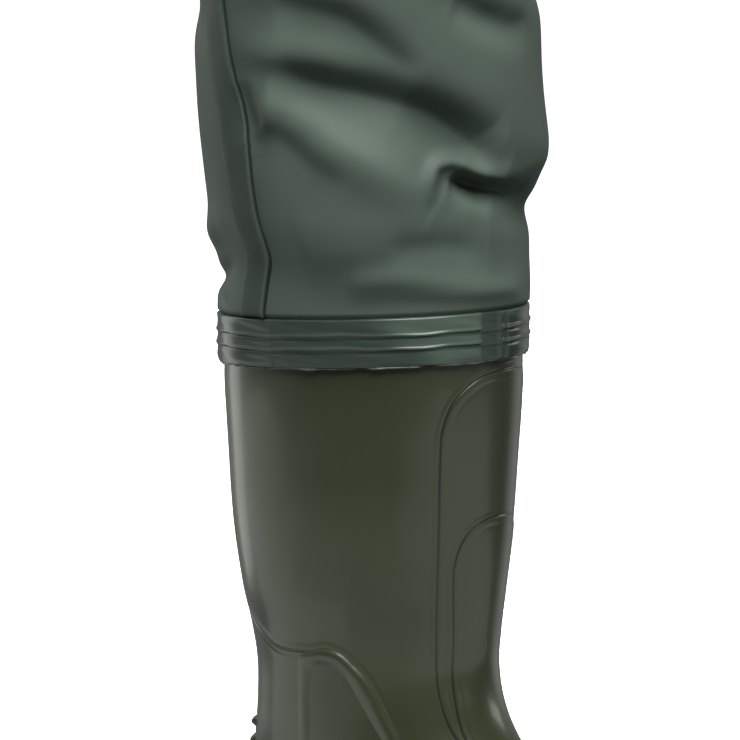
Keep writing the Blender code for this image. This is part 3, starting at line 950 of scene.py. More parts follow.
    def point(self, turn: Array, height: Array) -> Array:
        """Finds points on the folded leg.

        Args:
            turn: turns from the front.
            height: heights measured at the heel.

        Returns:
            The points.
        """
        turn, height = np.broadcast_arrays(turn, height)
        step, rise = self.turn_probe, self.height_probe
        around = self.form(turn + step, height) - self.form(turn - step, height)
        rising = self.form(turn, height + rise) - self.form(turn, height - rise)
        normal = unit(np.cross(around, rising))
        return self.form(turn, height) + normal * self.folds(turn, height)[..., None]


@dataclass(frozen=True)
class MouldLine:
    """A line moulded on a skin: a closed profile swept along a path of turns and heights.

    profile holds places across the path, to the left of its run, and how far each stands proud, in mm.
    Painted shade darkens the bottom of its groove, over a half width in mm.
    """

    path: Array
    profile: Rows
    closed: bool
    groove: float = 0.0
    step: float = 0.0012
    root: float = -1.0
    painted_shade: float = 0.25

    def stations(self, skin: Skin) -> Array:
        """Walks the path in even steps.

        Args:
            skin: the surface that carries the line.

        Returns:
            A turn and a height for each step.
        """
        line = spline(self.path, self.closed)
        if self.closed:
            line = np.concatenate([line, line[:1]])
        spots = skin.point(line[:, 0], line[:, 1])
        run = np.concatenate([[0.0], np.cumsum(np.linalg.norm(np.diff(spots, axis=0), axis=1))])
        count = int(run[-1] / self.step)
        places = np.linspace(0.0, run[-1], count, endpoint=not self.closed)
        return np.column_stack([np.interp(places, run, column) for column in line.T])

    def build(self, name: str, skin: Skin) -> Piece:
        """Sweeps the profile.

        Args:
            name: the piece's name.
            skin: the surface that carries the line.

        Returns:
            A closed solid rooted below the surface.
        """
        turn, height = self.stations(skin).T
        middle = skin.point(turn, height)
        normal = skin.outward(turn, height)
        ahead = np.roll(middle, -1, axis=0) - np.roll(middle, 1, axis=0)
        if not self.closed:
            ahead[0], ahead[-1] = middle[1] - middle[0], middle[-1] - middle[-2]
        left = unit(np.cross(normal, ahead))
        section = list(self.profile)
        section += [(self.profile[-1][0], self.root), (self.profile[0][0], self.root)]
        rows = []
        for across, proud in section:
            at_turn, at_height = skin.nearest(turn, height, middle + left * across * MM)
            rows.append(skin.raised(at_turn, at_height, proud * MM))
        piece = add_sweep(name, np.stack(rows, axis=1), self.closed, flip=True)
        # Painted shade: the tone drops on the groove's floor
        tones = [self.painted_shade if abs(across) < self.groove else 1.0 for across, _ in section]
        lay_shade(piece, np.tile(tones, len(turn)))
        return piece


@dataclass(frozen=True)
class Panel:
    """A raised field of the boot inside a closed path of turns and heights.

    It stands proud in mm, and rises to that from an inset within the path over a run-up, both in mm.
    """

    path: Array
    proud: float
    inset: float = 1.0
    run_up: float = 4.0

    def rise(self, skin: Skin, turn: Array, height: Array) -> Array:
        """Works out how far the panel lifts the boot's surface.

        Args:
            skin: the surface.
            turn: turns of the places asked for.
            height: their heights.

        Returns:
            Distances in metres.
        """
        line = spline(self.path, closed=True, fine=10)
        inside = np.zeros(turn.shape, dtype=bool)
        for (t0, h0), (t1, h1) in zip(line, np.roll(line, -1, axis=0)):
            crosses = (h0 > height) != (h1 > height)
            if h0 != h1:
                inside ^= crosses & (turn < t0 + (t1 - t0) * (height - h0) / (h1 - h0))
        edge = skin.point(line[:, 0], line[:, 1])
        spots = skin.point(turn[inside], height[inside])
        far = np.full(len(spots), np.inf)
        for spot in edge:
            far = np.minimum(far, np.linalg.norm(spots - spot, axis=1))
        total = np.zeros(turn.shape)
        total[inside] = self.proud * MM * ease((far / MM - self.inset) / self.run_up)
        return total


@dataclass(frozen=True)
class Boot:
    """The moulded boot: a hollow upper with shin guards, heel counter, ankle guards and kick ribs.

    The heights of its raised fields and the width of its grooves are in mm.
    """

    skin: BootSkin
    wall: float = 0.0026
    columns: int = 300
    rows: int = 190
    inner_rows: int = 30
    shin_proud: float = 0.45
    ridge_proud: float = 0.45
    counter_proud: float = 0.15
    groove: float = 0.5
    past_back: float = 1.001
    kick_half_turn: float = 30.0
    kick_foot: float = 0.0729
    kick_pitch: float = 0.0085
    kick_ribs: int = 5
    kick_points: int = 13

    # Half widths of the two shin guards, in degrees from the front, at heights in mm
    shin_rows: ClassVar[Rows] = (
        (86, 8), (90, 18), (98, 26), (110, 31), (125, 33), (145, 33.5), (170, 34), (205, 35), (238, 35.5),
        (249, 34.5), (258.5, 30), (265.5, 20), (268, 8),
    )
    ridge_rows: ClassVar[Rows] = (
        (72.5, 8), (76, 15), (83, 21), (95, 25), (110, 26.5), (127, 25.5), (153, 25), (175, 26.5),
        (186, 27), (196, 24.5), (202.5, 19), (206, 12), (207, 5),
    )
    # Edge of the heel counter, in degrees from the back, at heights in mm
    counter_rows: ClassVar[Rows] = (
        (268, 27), (235, 27), (200, 27), (172, 29), (163, 36), (155.5, 47), (149.5, 60), (146.0, 72),
    )
    # Outer and inner edge of the ankle guard's rim: places along the foot and heights, in mm
    rim_rows: ClassVar[Rows] = (
        (4.0, 33.0, 9.5, 33.0),
        (5.0, 70.0, 10.5, 70.0),
        (6.0, 106.0, 11.6, 106.0),
        (6.5, 124.0, 11.8, 124.0),
        (7.2, 139.5, 13.2, 136.5),
        (9.0, 144.0, 14.5, 139.0),
        (13.6, 146.5, 16.8, 141.0),
        (20.1, 148.0, 21.2, 141.4),
        (27.9, 146.8, 26.5, 139.8),
        (34.6, 141.1, 31.6, 135.5),
        (41.3, 133.4, 36.5, 127.5),
        (48.8, 119.5, 43.3, 116.0),
        (54.6, 109.8, 49.0, 107.0),
        (64.8, 90.0, 58.5, 89.0),
        (72.8, 70.0, 66.0, 69.0),
        (78.8, 50.0, 71.7, 49.5),
        (82.8, 33.0, 76.0, 33.0),
    )
    # Of the rim's rows, where its arch starts and how many rows it has, and the steps between rows below it
    arch_start: ClassVar[int] = 6
    arch_rows: ClassVar[int] = 6
    foot_steps: ClassVar[int] = 4
    # A guard's edge: a fine groove at the foot of a rounded step; across and proud, in mm
    guard_profile: ClassVar[Rows] = (
        (-3.2, -0.12), (-2.4, 0.02), (-0.85, 0.17), (-0.6, 0.16), (-0.36, 0.03), (0.36, 0.03), (0.62, 0.36),
        (1.0, 0.49), (2.2, 0.50), (4.0, 0.47), (6.0, -0.20),
    )
    # The counter's edge is no more than a fine groove between two faint lips
    groove_profile: ClassVar[Rows] = (
        (-4.0, -0.10), (-3.2, 0.02), (-1.0, 0.20), (-0.62, 0.18), (-0.38, 0.03), (0.38, 0.03), (0.62, 0.18),
        (1.0, 0.20), (3.2, 0.10), (4.0, -0.10),
    )
    kick_profile: ClassVar[Rows] = (
        (-2.6, -0.30), (-1.6, 0.7), (-0.7, 1.9), (0.0, 2.3), (0.7, 1.9), (1.6, 0.7), (2.6, -0.30),
    )
    # The rim's section: share of its width and proud in mm on its soft rear leg, then on its crisp arch
    rim_profile: ClassVar[Rows] = (
        (-0.40, -0.30, -0.10, -0.30),
        (-0.30, -0.02, -0.04, -0.02),
        (-0.12, 0.14, 0.02, 0.20),
        (0.08, 0.42, 0.08, 0.60),
        (0.28, 0.69, 0.20, 1.10),
        (0.50, 0.80, 0.42, 1.35),
        (0.72, 0.69, 0.66, 1.15),
        (0.92, 0.42, 0.88, 0.66),
        (1.12, 0.14, 1.06, 0.22),
        (1.30, -0.02, 1.20, -0.02),
        (1.40, -0.30, 1.28, -0.30),
    )
    # Shares of the rim's run: where its soft leg gives way to the arch, and over which its ends sink in
    rim_soft: ClassVar[tuple[float, float]] = (0.24, 0.40)
    rim_sink: ClassVar[float] = 0.06
    rim_root: ClassVar[float] = -1.0

    def front_path(self, rows: Rows) -> Array:
        """Closed path around a guard on the front: up its inner side and down its outer side."""
        inner = [(math.radians(half), height * MM) for height, half in rows]
        return np.array(inner + [(-turn, height) for turn, height in reversed(inner)])

    def side_path(self, rows: Array, side: Side) -> Array:
        """Path of turns and heights through places along the foot, on one side."""
        x, height = rows.T * MM
        return np.column_stack([side.value * self.skin.turn_at(x, height), height])

    def counter_path(self, side: Side) -> Array:
        """Draws the heel counter's edge from its top, down its side and over the ankle guard to the sole.

        Args:
            side: the side of the foot.

        Returns:
            Turns and heights along the edge.
        """
        upper = [(side.value * math.radians(180 - half), height * MM) for height, half in self.counter_rows]
        arch, foot = np.split(np.array(self.rim_rows)[self.arch_start :, :2], [self.arch_rows])
        foot = spline(foot, closed=False, fine=self.foot_steps)
        return np.concatenate([np.array(upper), self.side_path(np.concatenate([arch, foot]), side)])

    def panels(self) -> list[Panel]:
        """Lays out the raised fields of the boot.

        Returns:
            The two shin guards, then the counter's outer and inner side.
        """
        guards = ((self.shin_rows, self.shin_proud), (self.ridge_rows, self.ridge_proud))
        fields = [Panel(self.front_path(rows), proud) for rows, proud in guards]
        for side in Side:
            edge = self.counter_path(side)
            back = side.value * math.pi * self.past_back
            corners = np.array([(back, edge[-1, 1]), (back, edge[0, 1])])
            fields.append(Panel(np.concatenate([edge, corners]), self.counter_proud))
        return fields

    def upper(self) -> Piece:
        """Builds the hollow upper with the broad lift of its guards.

        Returns:
            The piece; the faces of its outside come first.
        """
        turn = full_turn(self.columns)[None, :]
        low = self.skin.heel_height
        outer = np.linspace(low, self.skin.top, self.rows)[:, None]
        inner = np.linspace(self.skin.top, low, self.inner_rows)[:, None]
        turns, heights = np.broadcast_arrays(turn, outer)
        lift = sum(panel.rise(self.skin, turns, heights) for panel in self.panels())
        rows = [self.skin.raised(turns, heights, lift), self.skin.raised(turn, inner, -self.wall)]
        piece = add_sweep("boot_upper_skin", np.concatenate(rows), closed=True)
        return hand_over(piece, Slot.BOOT, "boot_upper")

    def rim(self, side: Side) -> Piece:
        """Builds the raised rim of one ankle guard.

        Args:
            side: the side of the foot.

        Returns:
            The rim, sunk into the boot at both ends.
        """
        rows = spline(np.array(self.rim_rows) * MM, closed=False, fine=10)
        outer = np.column_stack([self.skin.turn_at(rows[:, 0], rows[:, 1]), rows[:, 1]])
        inner = np.column_stack([self.skin.turn_at(rows[:, 2], rows[:, 3]), rows[:, 3]])
        section = list(self.rim_profile)
        for soft_share, _, crisp_share, _ in (section[-1], section[0]):
            section.append((soft_share, self.rim_root, crisp_share, self.rim_root))
        run = np.linspace(0.0, 1.0, len(rows))
        crisp = ramp(run, *self.rim_soft)[:, None]
        full = ease(run / self.rim_sink) * ease((1 - run) / self.rim_sink)
        lines = []
        for soft_share, soft_proud, crisp_share, crisp_proud in section:
            spot = outer + (inner - outer) * (soft_share + (crisp_share - soft_share) * crisp)
            proud = soft_proud + (crisp_proud - soft_proud) * crisp[:, 0]
            proud = self.rim_root + (proud - self.rim_root) * full
            lines.append(self.skin.raised(side.value * spot[:, 0], spot[:, 1], proud * MM))
        name = f"ankle_guard_rim_{side.name.lower()}"
        return add_sweep(name, np.stack(lines, axis=1), closed=False, flip=side is Side.INNER)

    def kick_rib(self, number: int) -> Piece:
        """Builds one rib across the heel, for pulling the boot off.

        Args:
            number: its number from the lowest, which is 0.

        Returns:
            The rib.
        """
        half = math.radians(self.kick_half_turn)
        turn = np.linspace(math.pi + half, math.pi - half, self.kick_points)
        path = np.column_stack([turn, np.full(len(turn), self.kick_foot + number * self.kick_pitch)])
        return MouldLine(path, self.kick_profile, closed=False).build(f"kick_rib_{number + 1}", self.skin)

    def lines(self) -> list[Piece]:
        """Builds the edges of the guards and the ribs.

        Returns:
            The pieces that lie on the upper.
        """
        raised = tuple((across, proud + self.shin_proud) for across, proud in self.guard_profile)
        shin = MouldLine(self.front_path(self.shin_rows), self.guard_profile, True, self.groove)
        ridge = MouldLine(self.front_path(self.ridge_rows), raised, True, self.groove)
        pieces = [shin.build("shin_guard_edge", self.skin), ridge.build("shin_ridge_edge", self.skin)]
        for side in Side:
            pieces.append(self.rim(side))
            path = self.counter_path(side)[:: side.value]
            edge = MouldLine(path, self.groove_profile, False, self.groove)
            pieces.append(edge.build(f"heel_counter_edge_{side.name.lower()}", self.skin))
        pieces += [self.kick_rib(number) for number in range(self.kick_ribs)]
        return [hand_over(piece, Slot.BOOT) for piece in pieces]

    def build(self) -> list[Piece]:
        """Builds and dresses the boot.

        Returns:
            Its pieces, the upper first.
        """
        upper, *lines = pieces = [self.upper(), *self.lines()]
        outside, grooved = BOOT_PVC.material(), GROOVED_PVC.material()
        upper.data.materials.append(outside)
        upper.data.materials.append(LINING.material())
        line_inside(upper, self.rows * self.columns)
        for line in lines:
            line.data.materials.append(grooved if SHADE in line.data.attributes else outside)
        return pieces


@dataclass(frozen=True)
class Sole:
    """Outsole with a stepped side, heel, arch and grooved tread, and the insole that lies on it."""

    skin: BootSkin
    columns: int = 180
    gap: float = 0.0003
    insole_thickness: float = 0.003
    insole_inset: float = 0.0038
    groove_depth: float = 0.005
    groove_width: float = 0.0045
    groove_slant: float = 9.0
    middle_groove: tuple[float, float] = (0.098, 0.218)
    middle_side: float = 0.003
    cutter_length: float = 0.160
    cutter_below: float = 0.004
    edge_round: float = 0.0006
    round_steps: int = 2
    round_angle: float = 40.0

    # Lines around the side: outset in mm from the upper's lower edge, share of the sole's height
    side_rows: ClassVar[Rows] = (
        (0.0, 1.00), (3.0, 1.00), (3.6, 0.985), (3.8, 0.95), (3.8, 0.66), (2.4, 0.62), (2.4, 0.55),
        (3.4, 0.51), (3.0, 0.06), (1.8, 0.00),
    )
    groove_places: ClassVar[tuple[float, ...]] = (
        -0.027, -0.009, 0.009, 0.025, 0.108, 0.125, 0.142, 0.159, 0.176, 0.193, 0.210, 0.227,
    )
    arch_outline: ClassVar[Rows] = ((0.038, -0.004), (0.041, 0.010), (0.078, 0.0085), (0.093, -0.004))

    def edge(self, outset: float) -> Array:
        """Draws a ring in plan around the upper's lower edge.

        Args:
            outset: how far the ring is set out.

        Returns:
            Places along and across the foot.
        """
        turn = np.linspace(0.0, 2 * math.pi, self.columns, endpoint=False)
        height = np.full(len(turn), self.skin.heel_height)
        around, _ = self.skin.slopes(turn, height)
        side = unit(np.stack([around[:, 1], -around[:, 0]], axis=-1))
        return self.skin.point(turn, height)[:, :2] + side * outset

    def plate(self, name: str, rings: list[Array]) -> Piece:
        """Builds a solid through rings of points.

        Args:
            name: the piece's name.
            rings: the rings from the bottom up; the first and the last are closed across.

        Returns:
            The solid.
        """
        count = self.columns
        faces = grid_quads(len(rings), count, over=False)
        for base, order in ((0, -1), ((len(rings) - 1) * count, 1)):
            for i in range(count // 2):
                corners = dict.fromkeys((i, i + 1, (count - i - 1) % count, (count - i) % count))
                faces.append([base + corner for corner in corners][::order])
        return add_piece(name, np.stack(rings), faces)

    def cut(self, sole: Piece, tools: list[Piece]) -> None:
        """Cuts the tread and rounds its edges.

        Args:
            sole: the plain sole.
            tools: what is cut out of it; they are cleared away.
        """
        for tool in tools:
            step = sole.modifiers.new(tool.name, "BOOLEAN")
            step.operation = "DIFFERENCE"
            step.solver = "EXACT"
            step.object = tool
        bpy.context.view_layer.update()
        done = sole.evaluated_get(bpy.context.evaluated_depsgraph_get())
        mesh = bpy.data.meshes.new_from_object(done)
        sole.modifiers.clear()
        sole.data = mesh
        for tool in tools:
            bpy.data.objects.remove(tool)
        rounding = sole.modifiers.new("rounded_edges", "BEVEL")
        rounding.width = self.edge_round
        rounding.segments = self.round_steps
        rounding.limit_method = "ANGLE"
        rounding.angle_limit = math.radians(self.round_angle)
        rounding.harden_normals = False

    def box(self, name: str, centre: Spot, size: Spot, slant: float = 0.0) -> Piece:
        """Builds a box that cuts a groove.

        Args:
            name: the tool's name.
            centre: the box's centre.
            size: its length, width and height.
            slant: its turn in plan.

        Returns:
            The tool.
        """
        ends = (-0.5, 0.5)
        corners = np.array([(x, y, z) for x in ends for y in ends for z in ends]) * size
        cosine, sine = math.cos(slant), math.sin(slant)
        x = corners[:, 0] * cosine - corners[:, 1] * sine
        y = corners[:, 0] * sine + corners[:, 1] * cosine
        points = np.stack([x, y, corners[:, 2]], axis=-1) + centre
        faces = [[0, 1, 3, 2], [4, 6, 7, 5], [0, 4, 5, 1], [2, 3, 7, 6], [0, 2, 6, 4], [1, 5, 7, 3]]
        return add_piece(name, points, faces)

    def tools(self) -> list[Piece]:
        """Builds the cutters of the arch and the tread grooves.

        Returns:
            The tools.
        """
        half = self.cutter_length / 2
        sides = np.array([[(x, y, z) for x, z in self.arch_outline] for y in (-half, half)])
        tools = [add_sweep("arch_tool", sides, closed=False)]
        for number, place in enumerate(self.groove_places):
            top = float(self.skin.sole_bottom(np.array(place))) + self.groove_depth
            height = top + self.cutter_below
            size = (self.groove_width, self.cutter_length, height)
            centre = (place, 0.0, top - height / 2)
            tools.append(self.box(f"groove_tool_{number}", centre, size, math.radians(self.groove_slant)))
        start, end = self.middle_groove
        height = self.groove_depth + self.cutter_below
        centre = ((start + end) / 2, self.middle_side, self.groove_depth - height / 2)
        tools.append(self.box("middle_groove_tool", centre, (end - start, self.groove_width, height)))
        return tools

    def tread(self) -> Piece:
        """Builds and dresses the outsole.

        Returns:
            The piece.
        """
        rings = []
        for outset, share in reversed(self.side_rows):
            flat = self.edge(outset * MM)
            low, high = self.skin.sole_bottom(flat[:, 0]), self.skin.sole_top(flat[:, 0]) - self.gap
            rings.append(np.column_stack([flat, low + (high - low) * share]))
        sole = self.plate("outsole_tread", rings)
        self.cut(sole, self.tools())
        sole.data.shade_flat()
        sole.data.materials.clear()
        sole.data.materials.append(SOLE_PVC.material())
        return hand_over(sole, Slot.SOLE, "outsole")

    def insole(self) -> Piece:
        """Builds and dresses the insole, whose upper edge is slightly rounded.

        Returns:
            The piece.
        """
        soft = self.gap * 2
        flat, crown = self.edge(-self.insole_inset), self.edge(-self.insole_inset - soft)
        base = self.skin.sole_top(flat[:, 0]) + self.gap
        top = base + self.insole_thickness
        levels = ((flat, base), (flat, top - soft), (crown, top))
        insole = self.plate("felt_insole", [np.column_stack(level) for level in levels])
        insole.data.materials.append(FELT.material())
        return hand_over(insole, Slot.INSOLE, "insole")

    def build(self) -> list[Piece]:
        """Builds and dresses the sole and the insole."""
        return [self.tread(), self.insole()]


@dataclass(frozen=True)
class Leg:
    """The leg of coated fabric with its folds, lap seam and hem."""

    skin: LegSkin
    fabric: float = 0.0010
    columns: int = 320
    inner_spread: int = 2
    hem_height: float = 0.026
    gap: float = 0.0003
    strip_turn: float = 13.5
    strip_foot: float = 0.2952
    strip_root: float = -0.6
    root_points: int = 7
    # Painted highlight on the lip and painted shadow in front of it, as factors of the strip's tone
    lip_highlight: float = 1.35
    painted_shade: float = 0.35

    # Shares of the strip's width: its lip, painted light, and the start of the painted shadow in front of
    # it
    lip_shares: ClassVar[tuple[float, float]] = (0.88, 0.98)
    painted_shade_share: ClassVar[float] = 0.995
    # Rows of the leg's mesh: the foot of each stretch and the step of its rows, close in the sharp folds
    stretches: ClassVar[Rows] = ((0.2760, 0.0031), (0.2945, 0.0012), (0.4550, 0.0040), (0.6000, 0.0120))
    # Front edge of the lap strip, in degrees from the front to the outer side, at heights
    lap_line: ClassVar[Table] = Table(
        ("height", "turn"),
        (
            (0.2950, 101.0), (0.3020, 101.2), (0.3115, 102.0), (0.3200, 101.8), (0.3300, 103.0),
            (0.3405, 104.5), (0.3570, 106.0), (0.3720, 107.2), (0.3850, 108.5), (0.3975, 110.0),
            (0.4145, 111.5), (0.4315, 113.0), (0.5000, 113.5), (0.8000, 113.5),
        ),
    )
    # Section of the lap strip from its back edge: share of its width, and how far it stands proud, in mm
    strip_profile: ClassVar[Rows] = (
        (-0.02, -0.30), (0.00, 0.20), (0.04, 0.50), (0.10, 0.58), (0.30, 0.60), (0.70, 0.62), (0.86, 0.64),
        (0.885, 0.80), (0.91, 1.15), (0.94, 1.40), (0.97, 1.40), (0.99, 1.15), (1.00, 0.60), (1.015, 0.08),
        (1.05, 0.04), (1.055, -0.30),
    )
    # Section of the hem from its foot: height above the foot and proud, in mm
    hem_profile: ClassVar[Rows] = (
        (0.0, 0.3), (0.0, 1.2), (0.5, 1.5), (2.4, 1.5), (2.9, 1.15), (3.5, 1.15), (4.0, 1.5), (21.0, 1.5),
        (21.5, 1.15), (22.1, 1.15), (22.6, 1.5), (25.4, 1.5), (26.0, 1.1), (26.0, 0.3),
    )

    def levels(self) -> Array:
        """Sets out the rows: close in the folded part, wider above.

        Returns:
            Their heights, from the foot up.
        """
        feet = [foot for foot, _ in self.stretches]
        rows = []
        for (foot, step), head in zip(self.stretches, [*feet[1:], self.skin.top]):
            rows.append(np.linspace(foot, head, round((head - foot) / step), endpoint=False))
        return np.concatenate([*rows, [self.skin.top]])

    def tube(self) -> Piece:
        """Builds and dresses the hollow leg.

        Returns:
            The piece; the faces of its outside come first.
        """
        turn = full_turn(self.columns)[None, :]
        outer = self.levels()
        inner = outer[::-1][:: self.inner_spread]
        rows = [self.skin.point(turn, outer[:, None]), self.skin.raised(turn, inner[:, None], -self.fabric)]
        piece = add_sweep("leg_tube", np.concatenate(rows), closed=True)
        piece.data.materials.append(LEG_PVC.material())
        piece.data.materials.append(LINING.material())
        line_inside(piece, len(outer) * self.columns)
        return hand_over(piece, Slot.LEG, "leg")

    def strip_tone(self, share: float) -> float:
        """Tone at a share of the lap strip's width: a painted highlight on the lip, a painted shadow in
        front of it.
        """
        low, high = self.lip_shares
        return self.lip_highlight if low < share < high else self.painted_shade if share > self.painted_shade_share else 1.0

    def lap_strip(self) -> Piece:
        """Builds and dresses the lap seam: a flat strip whose front edge stands up as a lip.

        Returns:
            The piece.
        """
        levels = self.levels()
        head = self.skin.top - self.hem_height - self.gap
        between = levels[(levels > self.strip_foot) & (levels < head)]
        levels = np.concatenate([[self.strip_foot], between, [head]])
        front = self.lap_line.at(levels)["turn"]
        section = list(self.strip_profile)
        back = np.linspace(section[-1][0], section[0][0], self.root_points)
        section += [(share, self.strip_root) for share in back]
        lines = []
        for share, proud in section:
            turn = -np.radians(front + self.strip_turn * (1 - share))
            lines.append(self.skin.raised(turn, levels, proud * MM))
        piece = add_sweep("lap_strip", np.stack(lines, axis=1), closed=False)
        # Painted highlight on the lip, painted shadow in front of it
        lay_shade(piece, np.tile([self.strip_tone(share) for share, _ in section], len(levels)))
        piece.data.materials.append(STRIP_PVC.material())
        return hand_over(piece, Slot.LEG, "leg_seam")

    def hem(self) -> Piece:
        """Builds and dresses the hem: a doubled edge with two weld lines.

        Returns:
            The piece.
        """
        foot = self.skin.top - self.hem_height
        turn = full_turn(self.columns)
        rows = []
        for rise, proud in self.hem_profile:
            rows.append(self.skin.raised(turn, np.full(len(turn), foot + rise * MM), proud * MM))
        piece = add_sweep("top_hem_band", np.stack(rows), closed=True)
        piece.data.materials.append(LEG_PVC.material())
        return hand_over(piece, Slot.LEG, "top_hem")

    def build(self) -> list[Piece]:
        """Builds and dresses the leg."""
        return [self.tube(), self.lap_strip(), self.hem()]


@dataclass(frozen=True)
class WeldBand:
    """Ribbed band pressed around the joint of boot and leg, with the flash squeezed out below it.

    Distances and heights are in mm, and turns in degrees: negative ones are on the outer side.
    """

    skin: BootSkin
    columns: int = 480
    row_step: float = 0.3
    bottom: float = 272.4
    top: float = 294.5
    thickness: float = 1.2
    # How far the back stands off the boot below and over the leg's margin, and the rise between them
    seat_low: float = 1.0
    seat_high: float = 1.6
    seat_rise: float = 3.4
    # Rounding of the lower and the upper edge, and the share of the thickness that is left there
    edge_low: float = 0.8
    edge_high: float = 0.9
    edge_share: float = 0.25
    # The ribs, and the groove that the press leaves below each, in half widths of a rib
    rib_proud: float = 0.52
    rib_half: float = 0.8
    groove_share: float = 0.45
    groove_below: float = 1.7
    groove_narrow: float = 1.4
    # The joint of the band's ends, and the flattened field beside it where the press closed
    joint_turn: float = -9.0
    joint_fade: float = 1.5
    press_end: float = -19.5
    press_fade: float = 1.0
    press_flatten: float = 0.75
    press_sink: float = 0.35
    # A slow unevenness, and the thicker run where the band crosses the lap strip
    swell: float = 0.10
    swell_crests: int = 11
    lap_turn: float = -96.6
    lap_proud: float = 0.28
    lap_step: float = 0.8
    lap_back: float = -175.0
    lap_fade: float = 20.0
    # Painted light: the face is paler towards the front, where the key falls, a little less so before the
    # joint
    painted_light: float = 0.92
    painted_light_low: float = -44.0
    painted_light_high: float = -70.0
    painted_light_fade: float = 18.0
    light_dip: float = 0.15
    light_dip_turn: float = -32.0
    light_dip_fade: float = 10.0
    # Painted shade under a rib, as a share of the tone, and where it lies
    painted_shade: float = 0.45
    painted_shade_below: float = 1.5
    painted_shade_half: float = 0.5
    # The flash: its radius, the corners of its section, and how that is stretched upwards and outwards
    flash_radius: float = 0.46
    flash_corners: int = 8
    flash_height: float = 1.3
    flash_depth: float = 1.2

    rib_heights: ClassVar[tuple[float, float]] = (281.1, 287.0)
    # Waves along a rib: size, crests in a turn, and the share of the rib's height that is its lag
    rib_waves: ClassVar[Rows] = ((0.30, 7, 1.0), (0.16, 19, 0.0))
    # Beads of the joint: height, turn from the joint, half width
    beads: ClassVar[Rows] = ((0.9, 0.0, 1.1), (0.5, 3.4, 0.8))
    # The flash's raggedness: size, crests in a turn, lag
    ragged_waves: ClassVar[Rows] = ((0.5, 13, 1.3), (0.4, 29, 0.0), (0.25, 47, 0.7))
    # Its swelling, its rise over the band's foot and its stand off the boot: plain, and with raggedness
    flash_swell: ClassVar[tuple[float, float]] = (0.8, 0.4)
    flash_limits: ClassVar[tuple[float, float]] = (0.3, 1.5)
    flash_rise: ClassVar[tuple[float, float]] = (0.3, -0.25)
    flash_stand: ClassVar[tuple[float, float]] = (0.65, 0.12)

    def seat(self, height: Array | float) -> Array:
        """How far the band's back stands off the boot: over the leg's margin, and close below it."""
        share = ease((height - self.bottom) / self.seat_rise)
        return self.seat_low + (self.seat_high - self.seat_low) * share

    def proud(self, degrees: Array, height: Array) -> Array:
        """Shapes the band's face.

        Args:
            degrees: turns.
            height: heights.

        Returns:
            How far the face stands out from the band's back.
        """
        turn = np.radians(degrees)
        edge = ease((height - self.bottom) / self.edge_low) * ease((self.top - height) / self.edge_high)
        face = self.thickness * (self.edge_share + (1 - self.edge_share) * edge)
        flat = ease((degrees - self.press_end + self.press_fade) / (2 * self.press_fade))
        flat = flat * ease((self.joint_turn + self.joint_fade - degrees) / self.joint_fade)
        ribs = np.zeros(np.broadcast(degrees, height).shape)
        for place in self.rib_heights:
            wave = sum(size * np.sin(turn * crests + place * lag) for size, crests, lag in self.rib_waves)
            off = (height - place - wave) / self.rib_half
            groove = self.groove_share * np.exp(-((off + self.groove_below) ** 2) * self.groove_narrow)
            ribs = ribs + self.rib_proud * (np.exp(-(off**2)) - groove)
        lap = ease((self.lap_turn - degrees) / self.lap_step)
        lap = lap * ease((degrees - self.lap_back) / self.lap_fade)
        extra = self.swell * np.sin(turn * self.swell_crests + height) + self.lap_proud * lap
        for rise, beside, half in self.beads:
            extra = extra + rise * np.exp(-(((degrees - self.joint_turn - beside) / half) ** 2))
        ribs = ribs * (1 - self.press_flatten * flat)
        return face + (ribs - self.press_sink * flat + extra) * edge

    def shade(self, degrees: Array, height: Array) -> Array:
        """Tones the band's face: painted light towards the front, painted shade in the grooves under the
        ribs.

        Args:
            degrees: turns.
            height: heights.

        Returns:
            Factors of the finish's tone.
        """
        # Painted light: paler towards the front, where the key falls on it
        climb = (height - self.bottom) / (self.top - self.bottom)
        start = self.painted_light_low + (self.painted_light_high - self.painted_light_low) * climb
        lit = ease((degrees - start) / self.painted_light_fade)
        lit = lit * ease((self.press_end + self.press_fade - degrees) / self.press_fade)
        lit = lit * (1 - self.light_dip * ease((degrees - self.light_dip_turn) / self.light_dip_fade))
        tone = 1.0 + self.painted_light * lit
        # Painted shade in the groove under each rib
        for place in self.rib_heights:
            off = (height - place + self.painted_shade_below) / self.painted_shade_half
            tone = tone * (1 - self.painted_shade * np.exp(-(off**2)))
        return tone

    def band(self) -> Piece:
        """Builds and dresses the ribbed band.

        Returns:
            The piece.
        """
        degrees = np.linspace(-180.0, 180.0, self.columns, endpoint=False)[None, :]
        height = np.arange(self.bottom, self.top + self.row_step / 2, self.row_step)[:, None]
        proud = self.seat(height) + self.proud(degrees, height)
        face = self.skin.raised(np.radians(degrees), height * MM, proud * MM)
        back = np.array([[self.top], [self.bottom + self.seat_rise], [self.bottom]])
        inner = self.skin.raised(np.radians(degrees), back * MM, self.seat(back) * MM)
        points = np.concatenate([face, inner])
        piece = add_sweep("weld_band", points, closed=True)
        # The face takes painted light and painted shade; the back keeps the plain tone
        tone = np.ones(points.shape[:2])
        tone[: len(height)] = self.shade(degrees, height)
        lay_shade(piece, tone.ravel())
        piece.data.materials.append(BAND_PVC.material())
        return hand_over(piece, Slot.BAND, "joint_band")

